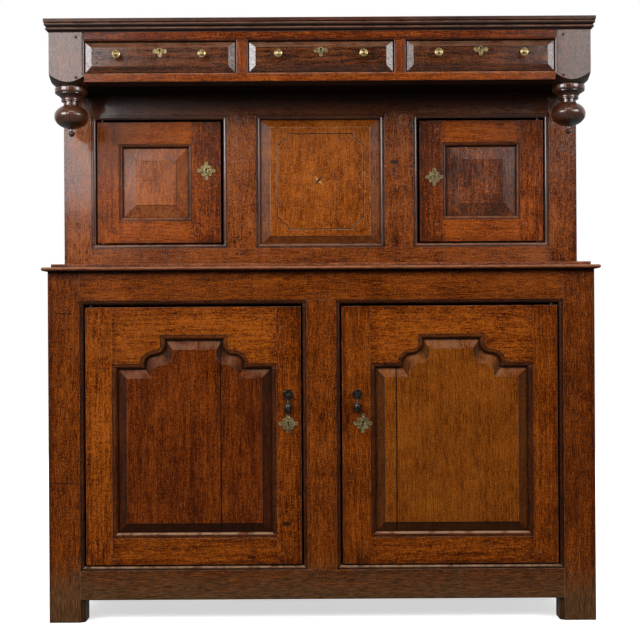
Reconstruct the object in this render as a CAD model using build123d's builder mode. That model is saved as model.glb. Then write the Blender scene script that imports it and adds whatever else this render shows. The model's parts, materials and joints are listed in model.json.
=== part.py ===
"""Court cupboard of joined oak: a two-door base and a set-back two-door upper stage.

A frieze with three drawers overhangs the upper stage and ends in two corner posts
whose lower ends are turned as pendants. Millimetres, +Z up, the front faces -Y.
The origin is on the floor, under the middle of the overall width and depth.
"""

import math
import os

from build123d import *

os.makedirs("parts", exist_ok=True)

# ---- Driving dimensions -------------------------------------------------------------
overall_depth = 560.0           # nose of the base top to the face of the back boards

base_width = 1465.0             # over the corner posts
base_height = 942.0             # floor to the underside of the base top
foot_height = 60.0              # floor to the bottom rail
base_bottom_rail_height = 90.0  # with the moulded edge along its top
base_top_rail_height = 92.0
post_width = 95.5               # on the front, with the moulded edge
post_thickness = 58.0
base_muntin_width = 102.0
base_muntin_peg_offset = 17.0   # pegs to each side of its middle line
front_rail_thickness = 40.0
base_moulding_width = 11.5
moulding_quirk = 3.0            # step down from the face to the moulding
moulding_radius = 8.0

base_top_thickness = 19.0
base_top_nose = 10.0            # height of the rounded lower member
base_top_overhang_front = 24.0
base_top_overhang_side = 12.5
base_top_step = 22.0            # the upper fillet stands this far inside the nose

back_post_width = 50.0
back_post_thickness = 45.0
back_rail_thickness = 25.0
back_board_thickness = 10.0
back_board_count = 7
back_rebate = 12.0              # back boards into the back posts
back_top_rail_height = 60.0
back_tenon_setback = 8.0
side_rail_thickness = 28.0
side_setback = 6.0              # face of the side rails inside the face of the posts
side_middle_rail_height = 80.0
side_rail_below_shelf = 10.0     # its middle below the top of the shelf

floor_board_thickness = 12.0
floor_board_count = 6
floor_housing = 8.0             # floor boards into the front and back rails
shelf_thickness = 16.0
shelf_board_count = 2
shelf_top = 520.0
shelf_front_gap = 23.0          # behind the front posts
bearer_width = 20.0
bearer_height = 24.0

upper_stage_inset = 7.5         # each side inside the sides of the base
upper_height = 489.0            # base top to the underside of the frieze
recess_depth = 175.0            # front of the upper stage behind the front of the base
upper_stile_width = 90.0        # with the moulded edge
upper_muntin_width = 107.0
upper_door_opening = 359.0
upper_bottom_rail_height = 65.0
upper_top_rail_height = 73.0
upper_frame_thickness = 40.0
upper_moulding_width = 13.0

frieze_inset = 6.0              # each side inside the sides of the base
frieze_height = 133.0           # underside of the frieze rail to the cornice
frieze_drop = 1.0               # frieze rail below the top of the upper stage
frieze_bottom_rail_height = 24.0
frieze_top_rail_height = 25.0
frieze_rail_thickness = 60.0
frieze_top_rail_thickness = 30.0
frieze_side_thickness = 24.0
divider_width = 34.0
divider_thickness = 60.0
divider_stub = 8.0              # tenons into the frieze rails
middle_drawer_opening = 390.0
middle_drawer_offset = 3.5      # the middle drawer lies this far to the right of the middle
frieze_moulding_width = 6.5
frieze_moulding_quirk = 1.5
frieze_moulding_radius = 5.0
frieze_moulding_depth = 8.0     # depth of the front layer that is shaped as one blank
soffit_thickness = 10.0
soffit_board_count = 4

corner_post_size = 95.0         # square, with the moulded inner edge
turning_offset = 3.0            # the turned end's axis lies inside the middle of the post
corner_moulding_stop = 6.5      # the moulding stops this far below the drawers
shoulder_slope = 1.0            # rise of the turned shoulder for each mm outwards
ring_radius = 44.0
ring_height = 17.0
ring_setdown = 7.0              # top of the ring below the frieze rail
ring_roll = 5.0                 # the ring's top and bottom edges stand this far inside it
ring_lip_inset = 4.0            # the lip below the ring stands this far inside it
ring_lip_height = 1.5
cove_reach = 24.0               # radius of the cove under the lip
cove_foot_radius = 26.5         # where the cove meets the bead
cove_height = 12.0
neck_bead_radius = 28.0
neck_bead_height = 7.5
neck_radius = 21.0
neck_height = 7.0
ball_radius = 46.0
ball_height = 66.0
ball_line_drop = 19.5           # a fine turned line lies this far below the ball's middle
ball_line_radius = 38.6
ball_line_size = 1.2            # radius of the line's hollow
button_radius = 9.0
button_height = 16.0
stem_radius = 5.0
stem_height = 5.0
turning_lap = 3.0               # the turned shapes run this far into each other

cornice_cove = 4.0
cornice_small_bead = 4.5        # radius
cornice_quirk = 2.0
cornice_large_bead = 5.5        # radius
cornice_fillet = 9.0
cornice_projection = 12.0
cornice_bead_setback = 1.0      # foot of the small bead inside a quarter circle's reach
cornice_fillet_lip = 1.5        # the fillet stands this far out beyond the large bead
cornice_seat = 18.0             # width of the cornice that lies on the frieze
top_board_thickness = 16.0
top_board_count = 3

door_setback = 3.0              # door faces behind the frame around them
door_side_gap = 4.0
door_lower_gap = 3.5
door_upper_gap = 5.5
door_thickness = 26.0
lower_left_door_stiles = (84.5, 80.0)   # left and right stiles, as seen from the front
lower_right_door_stiles = (90.0, 79.0)
lower_door_bottom_rail = 85.0
lower_door_shoulder_rail = 166.0
arch_crown_width = 154.0
arch_ogee_radius = 28.0
arch_ogee_drop = 8.0            # straight stretch under the ogee
arch_height = 77.0
lower_field_inset = 25.0
lower_field_crown_inset = 18.0
upper_left_door_stiles = (71.0, 92.0)   # left and right stiles, as seen from the front
upper_right_door_stiles = (75.0, 75.0)
upper_door_rail = 72.0
upper_door_lock_gap = 6.0
upper_field_inset = 35.5
lower_door_moulding_width = 14.0
lower_door_moulding_radius = 7.5
upper_door_moulding_width = 10.5
upper_door_moulding_radius = 7.0
door_moulding_quirk = 2.0

panel_tongue = 6.0
panel_groove = 8.0
panel_play = 1.0                # space left at the bottom of each groove
panel_rise = 4.5                # height of the sloping margin
panel_step = 2.0                # square step up to the field
panel_setback = 12.0            # front of the tongue behind the face of its frame
centre_field_side_inset = 27.0
centre_field_end_inset = 21.0
border_inset = 19.5             # incised line inside the edge of the centre field
border_line = 2.6
border_depth = 1.2
border_large_scallop = 18.0     # radii of the two hollows in each corner of the line
border_small_scallop = 13.5
side_field_inset = 34.0

tenon_thickness = 8.0
tenon_length = 40.0
side_tenon_length = 30.0
stile_tenon_length = 22.0       # side rails into the thin upper stiles
muntin_tenon_length = 28.0      # upper muntins into their rails
frieze_tenon_haunch = 4.0
tenon_haunch = 9.0              # tenons are this much narrower than their rails, each edge
tenon_setback = 13.0            # front cheek of a tenon behind the face
mortise_end_gap = 1.0
peg_radius = 4.0
peg_clearance = 0.05
peg_proud = 0.8
peg_length = 31.0               # into the wood
peg_inset = 15.0                # peg centres from the joint line

hinge_pin_radius = 4.0
hinge_pin_clearance = 0.05
hinge_pin_inset = 14.0          # pin centre from the hinge edge of the door
hinge_pin_setback = 9.0         # pin centre behind the face of the door
hinge_pin_depth = 22.0          # into the door
hinge_pin_root = 24.0           # into the rail
hinge_pin_end_gap = 1.0
hinge_collar_radius = 6.0

lock_margin = 13.0              # case beyond the keyhole
lock_height = 60.0
lock_depth = 11.0
lock_lip = 2.0                  # wall of the case around the bolt
bolt_height = 16.0
bolt_thickness = 5.0
bolt_length = 30.0
bolt_throw = 10.0
bolt_clearance = 0.3
keyhole_radius = 3.2
keyhole_slot = 2.6
keyhole_length = 12.0
lower_lock_drop = 320.0         # keyhole below the top rail
lower_left_key_inset = 35.0     # keyhole from the lock edge of the door
lower_right_key_inset = 55.5
upper_left_lock_rise = 272.0    # keyholes above the base top
upper_right_lock_rise = 251.0
upper_key_inset = 41.0

escutcheon_side = 30.0          # side of the lozenge
escutcheon_lobe = 5.2           # radius of the lobe on each corner
escutcheon_reach = 20.5         # lobe centres from the keyhole
escutcheon_small_lobe = 4.2     # radius of the lobe in the middle of each side
escutcheon_thickness = 1.6
escutcheon_hole = 1.5

handle_rise = 78.0              # axis of the drop handle above the keyhole
handle_right_offset = 14.5       # the right handle hangs this much nearer the lock edge
rose_radius = 13.0
rose_thickness = 2.0
lug_width = 10.0
lug_height = 9.0
lug_slot = 3.6
lug_nose = 3.5                  # lug beyond the axis
handle_axis_distance = 11.5     # from the face of the door
handle_pin_radius = 1.5
handle_pin_clearance = 0.06
eye_radius = 3.6
eye_thickness = 3.0
drop_length = 50.0
drop_belly = 34.0               # widest part below the axis
drop_tang = 8.0                 # flat tang below the axis
drop_tang_lap = 1.0             # the round drop starts this far up the tang
drop_collar = 4.0               # straight neck below the tang
drop_radius = 9.5
drop_neck_radius = 2.0
handle_bore_gap = 0.8           # between the eye and the back of its slot

drawer_side_gap = 1.6
drawer_lower_gap = 1.0
drawer_upper_gap = 1.4
drawer_front_thickness = 22.0
drawer_front_setback = 0.0
drawer_bevel_end = 18.0
drawer_bevel_top = 14.5
drawer_bevel_bottom = 17.0
drawer_bevel_depth = 7.0
drawer_side_thickness = 10.0
drawer_side_height = 74.0
drawer_length = 430.0
drawer_bottom_thickness = 7.0
drawer_bottom_rise = 5.0
drawer_rebate = 11.0
drawer_housing = 5.0
runner_width = 26.0
guide_height = 30.0
guide_clearance = 0.8
knob_radius = 11.5
knob_projection = 22.0
knob_neck_radius = 4.5
knob_flare = 3.0
knob_rim = 2.0
knob_disc_height = 10.0         # back of the disc behind the tip of the boss
knob_boss_radius = 7.5
knob_boss_height = 2.5
knob_dish = 1.0                 # the face falls this much towards the boss
knob_shank_radius = 3.0
knob_offset = 114.0             # knob from the middle of its drawer
drawer_brass_rise = 5.0         # brasses above the middle of the drawer front
drawer_escutcheon_width = 38.0
drawer_key_rise = 14.0          # keyhole above the knobs
drawer_escutcheon_middle = 9.5  # radius of the round middle
drawer_escutcheon_drop = 4.0    # middle below the round of the keyhole
drawer_escutcheon_lobe = 6.0    # radius of its two side lobes
drawer_escutcheon_foot = 5.0    # radius of its lower lobe
drawer_escutcheon_height = 26.0
drawer_lock_width = 56.0
drawer_lock_height = 40.0

# ---- Levels and lines worked out from them ------------------------------------------
front = base_top_overhang_front - overall_depth / 2
back = overall_depth / 2
base_half = base_width / 2
post_inner = base_half - post_width
muntin_half = base_muntin_width / 2
base_opening_z = (foot_height + base_bottom_rail_height, base_height - base_top_rail_height)
base_openings = [(-post_inner, -muntin_half), (muntin_half, post_inner)]
base_reach = post_inner + base_moulding_width       # shoulders of the base rails
base_top_z = base_height + base_top_thickness

upper_front = front + recess_depth
upper_half = base_half - upper_stage_inset
upper_inner = upper_half - upper_stile_width
upper_reach = upper_inner + upper_moulding_width
upper_muntin_outer = upper_inner - upper_door_opening
upper_muntin_inner = upper_muntin_outer - upper_muntin_width
upper_top = base_top_z + upper_height
upper_opening_z = (base_top_z + upper_bottom_rail_height, upper_top - upper_top_rail_height)
upper_openings = [
    (-upper_inner, -upper_muntin_outer),
    (-upper_muntin_inner, upper_muntin_inner),
    (upper_muntin_outer, upper_inner),
]

frieze_bottom = upper_top - frieze_drop
frieze_top = frieze_bottom + frieze_height
frieze_half = base_half - frieze_inset
drawer_z = (frieze_bottom + frieze_bottom_rail_height, frieze_top - frieze_top_rail_height)
frieze_inner = frieze_half - corner_post_size
divider_centre = (middle_drawer_opening + divider_width) / 2
corner_post_back = front + corner_post_size
side_face = base_half - side_setback
side_inner = side_face - side_rail_thickness
back_post_front = back - back_post_thickness
back_rail_back = back - back_board_thickness
back_rail_front = back_rail_back - back_rail_thickness
upper_side_face = upper_half - side_setback
upper_side_inner = upper_side_face - side_rail_thickness


# ---- Shapes that repeat ---------------------------------------------------------------
def block(x, y, z, mode=Mode.ADD):
    """A square-edged block between two limits on each axis."""
    middle = ((x[0] + x[1]) / 2, (y[0] + y[1]) / 2, (z[0] + z[1]) / 2)
    with Locations(middle):
        Box(x[1] - x[0], y[1] - y[0], z[1] - z[0], mode=mode)


def on_side(side, inner, outer):
    """The span between two distances from the middle, on the side -1 or 1."""
    return tuple(sorted((side * inner, side * outer)))


def bore(points, radius, y, mode=Mode.SUBTRACT):
    """Round holes, or pins, from front to back at the given X and Z points."""
    middle = (y[0] + y[1]) / 2
    with Locations(*[(x, middle, z) for x, z in points]):
        Cylinder(radius, y[1] - y[0], rotation=(90, 0, 0), mode=mode)


def upright_pin(point, radius, z, mode=Mode.ADD):
    """A round upright pin, or its hole, at an X and Y point."""
    with Locations((point[0], point[1], (z[0] + z[1]) / 2)):
        Cylinder(radius, z[1] - z[0], mode=mode)


def facing_front(y, x=0.0):
    """A plane that faces the front, with X to the right and Z up."""
    return Plane(origin=(x, y, 0), x_dir=(1, 0, 0), z_dir=(0, -1, 0))


def facing_side(side, distance):
    """A plane that faces outwards at one side, with its second axis up."""
    return Plane(origin=(side * distance, 0, 0), x_dir=(0, side, 0), z_dir=(side, 0, 0))


def rectangle_outline(x, z):
    """A function that draws the rectangle between two spans, drawn in by an inset."""
    def draw(inset=0.0):
        with Locations(((x[0] + x[1]) / 2, (z[0] + z[1]) / 2)):
            Rectangle(x[1] - x[0] - 2 * inset, z[1] - z[0] - 2 * inset)
    return draw


def arch_outline(half_width, bottom, shoulder, crown):
    """A function that draws the arched opening of a lower door about its middle line."""
    def draw(inset=0.0, crown_inset=0.0):
        side = half_width - inset
        ogee_foot = crown - crown_inset + 2 * arch_ogee_radius
        ogee_middle = ogee_foot - arch_ogee_radius
        level = shoulder - inset
        turn = level + arch_ogee_drop
        with BuildLine() as edge:
            Polyline((0, bottom + inset), (side, bottom + inset), (side, level), (ogee_foot, level),
                     (ogee_foot, turn))
            TangentArc((ogee_foot, turn), (ogee_middle, turn + arch_ogee_radius), tangent=(0, 1))
            TangentArc((ogee_middle, turn + arch_ogee_radius),
                       (crown - crown_inset, turn + 2 * arch_ogee_radius), tangent=(-1, 0))
            Polyline((crown - crown_inset, turn + 2 * arch_ogee_radius),
                     (crown - crown_inset, level + arch_height), (0, level + arch_height))
            mirror(about=Plane.YZ)
        make_face(edge.edges())
    return draw


def round_moulding(face, quirk, radius):
    """Round the front edges of the openings whose margins were sunk by the quirk."""
    floors = faces().filter_by_position(Axis.Y, face + quirk - 0.01, face + quirk + 0.01)
    rims = [edge for floor in floors for wire in floor.inner_wires() for edge in wire.edges()]
    fillet(rims, radius)


def moulded_openings(openings, z, y, width, quirk=moulding_quirk, radius=moulding_radius):
    """Cut openings through the front being made, with a quirked ovolo round each."""
    for x in openings:
        block(x, y, z, Mode.SUBTRACT)
        block((x[0] - width, x[1] + width), (y[0], y[0] + quirk),
              (z[0] - width, z[1] + width), Mode.SUBTRACT)
    round_moulding(y[0], quirk, radius)


def fielded_panel(plane, sight, field, tongue_edge):
    """A panel with a tongue all round, a sloping margin and a raised field.

    The plane lies in the middle of the tongue and faces outwards.
    """
    with BuildSketch(plane.offset(-panel_tongue / 2)) as tongue:
        sight()
        offset(amount=tongue_edge, kind=Kind.INTERSECTION)
    extrude(tongue.sketch, amount=panel_tongue)
    with BuildSketch(plane.offset(panel_tongue / 2)) as margin_foot:
        sight()
    with BuildSketch(plane.offset(panel_tongue / 2 + panel_rise)) as raised_field:
        field()
    loft([margin_foot.sketch, raised_field.sketch], ruled=True)
    extrude(raised_field.sketch, amount=panel_step)


def incised_border(plane, x, z):
    """Cut a fine line round a field, with two hollows in each corner, and keep what it bounds."""
    def draw(grow):
        rectangle_outline(x, z)()
        for corner_x, side in ((x[0], 1), (x[1], -1)):
            for corner_z, rise in ((z[0], 1), (z[1], -1)):
                with Locations((corner_x, corner_z + rise * border_large_scallop)):
                    Circle(border_small_scallop, mode=Mode.SUBTRACT)
                with Locations((corner_x + side * border_small_scallop, corner_z)):
                    Circle(border_large_scallop, mode=Mode.SUBTRACT)
                with Locations((corner_x, corner_z)):
                    Rectangle(2 * border_small_scallop, 2 * border_large_scallop,
                              mode=Mode.SUBTRACT)
        offset(amount=grow, kind=Kind.INTERSECTION)
    with BuildSketch(plane) as outside:
        draw(border_line / 2)
    with BuildSketch(plane) as inside:
        draw(-border_line / 2)
    extrude(outside.sketch, amount=-border_depth, mode=Mode.SUBTRACT)
    extrude(inside.sketch, amount=-border_depth)


def save(name, *pieces):
    """Write one node; pieces that touch each other stay separate solids."""
    node = pieces[0].part
    if len(pieces) > 1:
        node = Compound(children=[solid for piece in pieces for solid in piece.part.solids()])
    node.label = name
    export_step(node, f"parts/{name}.step")


def cut_all(boxes):
    """Subtract a list of blocks from the piece being made."""
    for box in boxes:
        block(*box, Mode.SUBTRACT)


def longer(tenon, axis, side):
    """The mortise for a tenon: the same block, with room beyond its end."""
    spans = list(tenon)
    low, high = spans[axis]
    spans[axis] = (low, high + mortise_end_gap) if side > 0 else (low - mortise_end_gap, high)
    return tuple(spans)


def rail_tenons(reach, face, z, length=tenon_length):
    """The tenons at both ends of a front rail, with the matching mortises."""
    y = (face + tenon_setback, face + tenon_setback + tenon_thickness)
    band = (z[0] + tenon_haunch, z[1] - tenon_haunch)
    tenons = [(on_side(side, reach, reach + length), y, band) for side in (-1, 1)]
    mortises = [longer(tenon, 0, side) for tenon, side in zip(tenons, (-1, 1))]
    return tenons, mortises


def muntin_tenons(centre, face, width, z, length=tenon_length):
    """The tenons at the foot and head of an upright between two rails."""
    y = (face + tenon_setback, face + tenon_setback + tenon_thickness)
    half = width / 2 - tenon_haunch
    x = (centre - half, centre + half)
    tenons = [(x, y, (z[0] - length, z[0])), (x, y, (z[1], z[1] + length))]
    mortises = [longer(tenon, 2, side) for tenon, side in zip(tenons, (-1, 1))]
    return tenons, mortises


# ---- Doors: sizes that the carcass needs as well ----------------------------------------
def door_span(opening, hinge_side, lock_gap):
    """The width of a door in its opening, from the hinge gap to the lock gap."""
    if hinge_side < 0:
        return (opening[0] + door_side_gap, opening[1] - lock_gap)
    return (opening[0] + lock_gap, opening[1] - door_side_gap)


def door_pin(x, hinge_side, face):
    """X and Y of the hinge pins of a door."""
    edge = x[0] if hinge_side < 0 else x[1]
    return (edge - hinge_side * hinge_pin_inset, face + hinge_pin_setback)


lower_face = front + door_setback
upper_face = upper_front + door_setback
lower_door_z = (base_opening_z[0] + door_lower_gap, base_opening_z[1] - door_upper_gap)
upper_door_z = (upper_opening_z[0] + door_lower_gap, upper_opening_z[1] - door_upper_gap)
lower_door_x = {
    "left": door_span(base_openings[0], -1, door_side_gap),
    "right": door_span(base_openings[1], 1, door_side_gap),
}
upper_door_x = {
    "left": door_span(upper_openings[0], -1, upper_door_lock_gap),
    "right": door_span(upper_openings[2], 1, upper_door_lock_gap),
}
hand = {"left": -1, "right": 1}
bolt_front = door_thickness - lock_depth + lock_lip     # front of a bolt behind the door face


def bolt_mortise(x, hinge_side, face, height):
    """The slot in the upright beside a door that its lock bolt shoots into."""
    edge = x[1] if hinge_side < 0 else x[0]
    reach = edge - hinge_side * (bolt_throw + 2 * bolt_clearance)
    return (
        tuple(sorted((edge, reach))),
        (face + bolt_front - bolt_clearance, face + bolt_front + bolt_thickness + bolt_clearance),
        (height - bolt_height / 2 - bolt_clearance, height + bolt_height / 2 + bolt_clearance),
    )


lower_lock_height = base_opening_z[1] - lower_lock_drop
lower_lock_z = {"left": lower_lock_height, "right": lower_lock_height}
upper_lock_z = {"left": base_top_z + upper_left_lock_rise,
                "right": base_top_z + upper_right_lock_rise}
lower_bolt_mortises = [
    bolt_mortise(lower_door_x[name], hand[name], lower_face, lower_lock_z[name]) for name in hand
]
upper_bolt_mortises = [
    bolt_mortise(upper_door_x[name], hand[name], upper_face, upper_lock_z[name]) for name in hand
]
lower_pins = [door_pin(lower_door_x[name], hand[name], lower_face) for name in hand]
upper_pins = [door_pin(upper_door_x[name], hand[name], upper_face) for name in hand]


# ---- Base: the joined front -----------------------------------------------------------
post_y = (front, front + post_thickness)
rail_y = (front, front + front_rail_thickness)
bottom_rail_z = (foot_height, base_opening_z[0])
top_rail_z = (base_opening_z[1], base_height)
muntin_flat_half = muntin_half - base_moulding_width
muntin_flat_z = (base_opening_z[0] - base_moulding_width, base_opening_z[1] + base_moulding_width)

bottom_tenons, bottom_mortises = rail_tenons(base_reach, front, bottom_rail_z)
top_tenons, top_mortises = rail_tenons(base_reach, front, top_rail_z)
base_muntin_tenons, base_muntin_mortises = muntin_tenons(0, front, base_muntin_width, muntin_flat_z)

with BuildPart() as base_front_blank:
    block((-base_half, base_half), post_y, (0, base_height))
    block((-post_inner, post_inner), post_y, (0, foot_height), Mode.SUBTRACT)
    for side in (-1, 1):
        block(on_side(side, post_inner, base_reach), (front, front + moulding_quirk),
              (0, foot_height), Mode.SUBTRACT)
    foot_edges = edges().filter_by(Axis.Z).filter_by_position(Axis.Z, 0, foot_height)
    foot_edges = foot_edges.filter_by_position(Axis.Y, front + moulding_quirk - 0.01,
                                               front + moulding_quirk + 0.01)
    fillet(foot_edges.filter_by_position(Axis.X, -post_inner - 0.01, post_inner + 0.01),
           moulding_radius)
    moulded_openings(base_openings, base_opening_z, post_y, base_moulding_width)

# Mortises in the corner posts for the side rails, and grooves for the side panels.
side_tenon_x = (side_face - side_rail_thickness / 2 - tenon_thickness / 2,
                side_face - side_rail_thickness / 2 + tenon_thickness / 2)
side_tongue_x = (side_face - panel_setback - panel_tongue, side_face - panel_setback)
side_rail_middle = shelf_top - side_rail_below_shelf
side_rail_bands = [
    (foot_height, base_opening_z[0]),
    (side_rail_middle - side_middle_rail_height / 2, side_rail_middle + side_middle_rail_height / 2),
    (base_opening_z[1], base_height),
]
side_panel_bands = [
    (side_rail_bands[0][1], side_rail_bands[1][0]),
    (side_rail_bands[1][1], side_rail_bands[2][0]),
]
side_y = (post_y[1], back_post_front)


def side_tenons(side, x, y, band):
    """The tenons of a side rail, front and back."""
    z = (band[0] + tenon_haunch, band[1] - tenon_haunch)
    return [(on_side(side, *x), (y[0] - side_tenon_length, y[0]), z),
            (on_side(side, *x), (y[1], y[1] + side_tenon_length), z)]


base_side_tenons = [
    tenon for side in (-1, 1) for band in side_rail_bands
    for tenon in side_tenons(side, side_tenon_x, side_y, band)
]
base_side_mortises = [
    longer(tenon, 1, 1 if tenon[1][0] > 0 else -1) for tenon in base_side_tenons
]
base_side_grooves = [
    (on_side(side, *side_tongue_x), (side_y[0] - panel_groove, side_y[1] + panel_groove),
     (band[0] - panel_groove, band[1] + panel_groove))
    for side in (-1, 1) for band in side_panel_bands
]


def peg_pair(x, band):
    """Two pegs through the tenon of a rail."""
    third = (band[1] - band[0]) / 3
    return [(x, band[0] + third), (x, band[1] - third)]


base_pegs = [
    point for side in (-1, 1) for band in (bottom_rail_z, top_rail_z)
    for point in peg_pair(side * (base_reach + peg_inset), band)
]
base_muntin_pegs = [
    (side * base_muntin_peg_offset, z)
    for side in (-1, 1)
    for z in (muntin_flat_z[0] - peg_inset, muntin_flat_z[1] + peg_inset)
]
peg_hole = peg_radius + peg_clearance

with BuildPart() as base_front_posts:
    add(base_front_blank.part)
    block((-post_inner, post_inner), post_y, (0, base_height), Mode.SUBTRACT)
    block((-base_reach, base_reach), post_y, bottom_rail_z, Mode.SUBTRACT)
    block((-base_reach, base_reach), post_y, top_rail_z, Mode.SUBTRACT)
    cut_all(bottom_mortises + top_mortises + base_side_mortises + base_side_grooves)
    bore(base_pegs, peg_hole, post_y)
save("base_front_posts", base_front_posts)

floor_board_z = (muntin_flat_z[0] - floor_board_thickness, muntin_flat_z[0])

base_rails = []
for band, tenons in ((bottom_rail_z, bottom_tenons), (top_rail_z, top_tenons)):
    with BuildPart() as base_rail:
        add(base_front_blank.part)
        block((-base_reach, base_reach), rail_y, band, Mode.INTERSECT)
        block((-muntin_flat_half, muntin_flat_half), rail_y, muntin_flat_z, Mode.SUBTRACT)
        for tenon in tenons:
            block(*tenon)
        cut_all(base_muntin_mortises)
        bore(base_pegs, peg_hole, rail_y)
        bore(base_muntin_pegs, peg_hole, rail_y)
        block((-base_reach, base_reach), (rail_y[1] - floor_housing, rail_y[1]), floor_board_z,
              Mode.SUBTRACT)
        for pin in lower_pins:
            upright_pin(pin, hinge_pin_radius,
                        (base_opening_z[0] - hinge_pin_root, base_opening_z[1] + hinge_pin_root),
                        Mode.SUBTRACT)
    base_rails.append(base_rail)
save("base_front_rails", *base_rails)

with BuildPart() as base_muntin:
    add(base_front_blank.part)
    block((-muntin_half, muntin_half), rail_y, base_opening_z, Mode.INTERSECT)
    block((-muntin_flat_half, muntin_flat_half), rail_y, muntin_flat_z)
    for tenon in base_muntin_tenons:
        block(*tenon)
    cut_all(lower_bolt_mortises)
    bore(base_muntin_pegs, peg_hole, rail_y)
save("base_muntin", base_muntin)

# ---- Base: sides, back and inside -------------------------------------------------------
back_rail_y = (back_rail_front, back_rail_back)
back_rail_bands = [bottom_rail_z, (base_height - back_top_rail_height, base_height)]
back_reach = base_half - back_post_width
back_tenon_y = (back_rail_front + back_tenon_setback,
                back_rail_front + back_tenon_setback + tenon_thickness)


def back_tenons(reach, band):
    """The tenons at both ends of a back rail."""
    z = (band[0] + tenon_haunch, band[1] - tenon_haunch)
    return [(on_side(side, reach, reach + side_tenon_length), back_tenon_y, z)
            for side in (-1, 1)]


base_back_tenons = [tenon for band in back_rail_bands for tenon in back_tenons(back_reach, band)]

with BuildPart() as base_back_posts:
    for side in (-1, 1):
        block(on_side(side, back_reach, base_half), (back_post_front, back), (0, base_height))
        block(on_side(side, back_reach, back_reach + back_rebate), (back_rail_back, back),
              (foot_height, base_height), Mode.SUBTRACT)
    cut_all(base_side_mortises + base_side_grooves + base_back_tenons)

base_side_rails = []
for side in (-1, 1):
    for band in side_rail_bands:
        with BuildPart() as side_rail:
            block(on_side(side, side_inner, side_face), side_y, band)
            for tenon in side_tenons(side, side_tenon_x, side_y, band):
                block(*tenon)
            cut_all(base_side_grooves)
        base_side_rails.append(side_rail)
with BuildPart() as base_back_rails:
    for band in back_rail_bands:
        block((-back_reach, back_reach), back_rail_y, band)
    block((-back_reach, back_reach), (back_rail_front, back_rail_front + floor_housing),
          floor_board_z, Mode.SUBTRACT)
    for tenon in base_back_tenons:
        block(*tenon)

tongue_middle = panel_setback + panel_tongue / 2
with BuildPart() as base_side_panels:
    for side in (-1, 1):
        for band in side_panel_bands:
            span = tuple(sorted((side * side_y[0], side * side_y[1])))
            inner_span = (span[0] + side_field_inset, span[1] - side_field_inset)
            inner_band = (band[0] + side_field_inset, band[1] - side_field_inset)
            fielded_panel(facing_side(side, side_face - tongue_middle),
                          rectangle_outline(span, band),
                          rectangle_outline(inner_span, inner_band), panel_groove - panel_play)


def boards_across(x, y, z, count):
    """Boards laid side by side along X; each is returned as its own piece."""
    width = (x[1] - x[0]) / count
    boards = []
    for index in range(count):
        with BuildPart() as board:
            block((x[0] + index * width, x[0] + (index + 1) * width), y, z)
        boards.append(board)
    return boards


def boards_deep(x, y, z, count):
    """Boards laid one behind another along Y; each is returned as its own piece."""
    depth = (y[1] - y[0]) / count
    boards = []
    for index in range(count):
        with BuildPart() as board:
            block(x, (y[0] + index * depth, y[0] + (index + 1) * depth), z)
        boards.append(board)
    return boards


back_board_reach = back_reach + back_rebate
base_back_boards = boards_across((-back_board_reach, back_board_reach), (back_rail_back, back),
                                 (foot_height, base_height), back_board_count)

floor_boards = boards_across((-side_inner, side_inner),
                             (rail_y[1] - floor_housing, back_rail_front + floor_housing),
                             floor_board_z, floor_board_count)
for index in (0, floor_board_count - 1):
    with floor_boards[index]:
        for side in (-1, 1):
            block(on_side(side, post_inner, base_half), post_y, floor_board_z, Mode.SUBTRACT)
            block(on_side(side, back_reach, base_half), (back_post_front, back), floor_board_z,
                  Mode.SUBTRACT)

shelf_y = (post_y[1] + shelf_front_gap, back_post_front)
with BuildPart() as shelf_bearers:
    for side in (-1, 1):
        block(on_side(side, side_inner - bearer_width, side_inner), shelf_y,
              (shelf_top - shelf_thickness - bearer_height, shelf_top - shelf_thickness))
shelf_boards = boards_deep((-side_inner, side_inner), shelf_y,
                           (shelf_top - shelf_thickness, shelf_top), shelf_board_count)
save("base_floor_and_shelf_boards", *floor_boards, *shelf_boards)

# ---- Base top ---------------------------------------------------------------------------
top_half = base_half + base_top_overhang_side
top_nose_y = front - base_top_overhang_front
nose_round = base_top_nose / 2 - 0.1
with BuildPart() as base_top:
    block((-top_half, top_half), (top_nose_y, back), (base_height, base_height + base_top_nose))
    nose_edges = edges().filter_by_position(Axis.Y, top_nose_y - 0.01, back - 1)
    fillet([edge for edge in nose_edges if edge.geom_type == GeomType.LINE
            and edge.length > base_top_thickness], nose_round)
    block((base_top_step - top_half, top_half - base_top_step), (top_nose_y + base_top_step, back),
          (base_height + base_top_nose, base_top_z))
save("base_top", base_top)

# ---- Upper stage: the joined front --------------------------------------------------------
upper_y = (upper_front, upper_front + upper_frame_thickness)
upper_rail_bands = [(base_top_z, upper_opening_z[0]), (upper_opening_z[1], upper_top)]
upper_flat_z = (upper_opening_z[0] - upper_moulding_width, upper_opening_z[1] + upper_moulding_width)
upper_muntin_centre = (upper_muntin_inner + upper_muntin_outer) / 2
upper_flat_half = upper_muntin_width / 2 - upper_moulding_width

with BuildPart() as upper_front_blank:
    block((-upper_half, upper_half), upper_y, (base_top_z, upper_top))
    moulded_openings(upper_openings, upper_opening_z, upper_y, upper_moulding_width)

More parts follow.
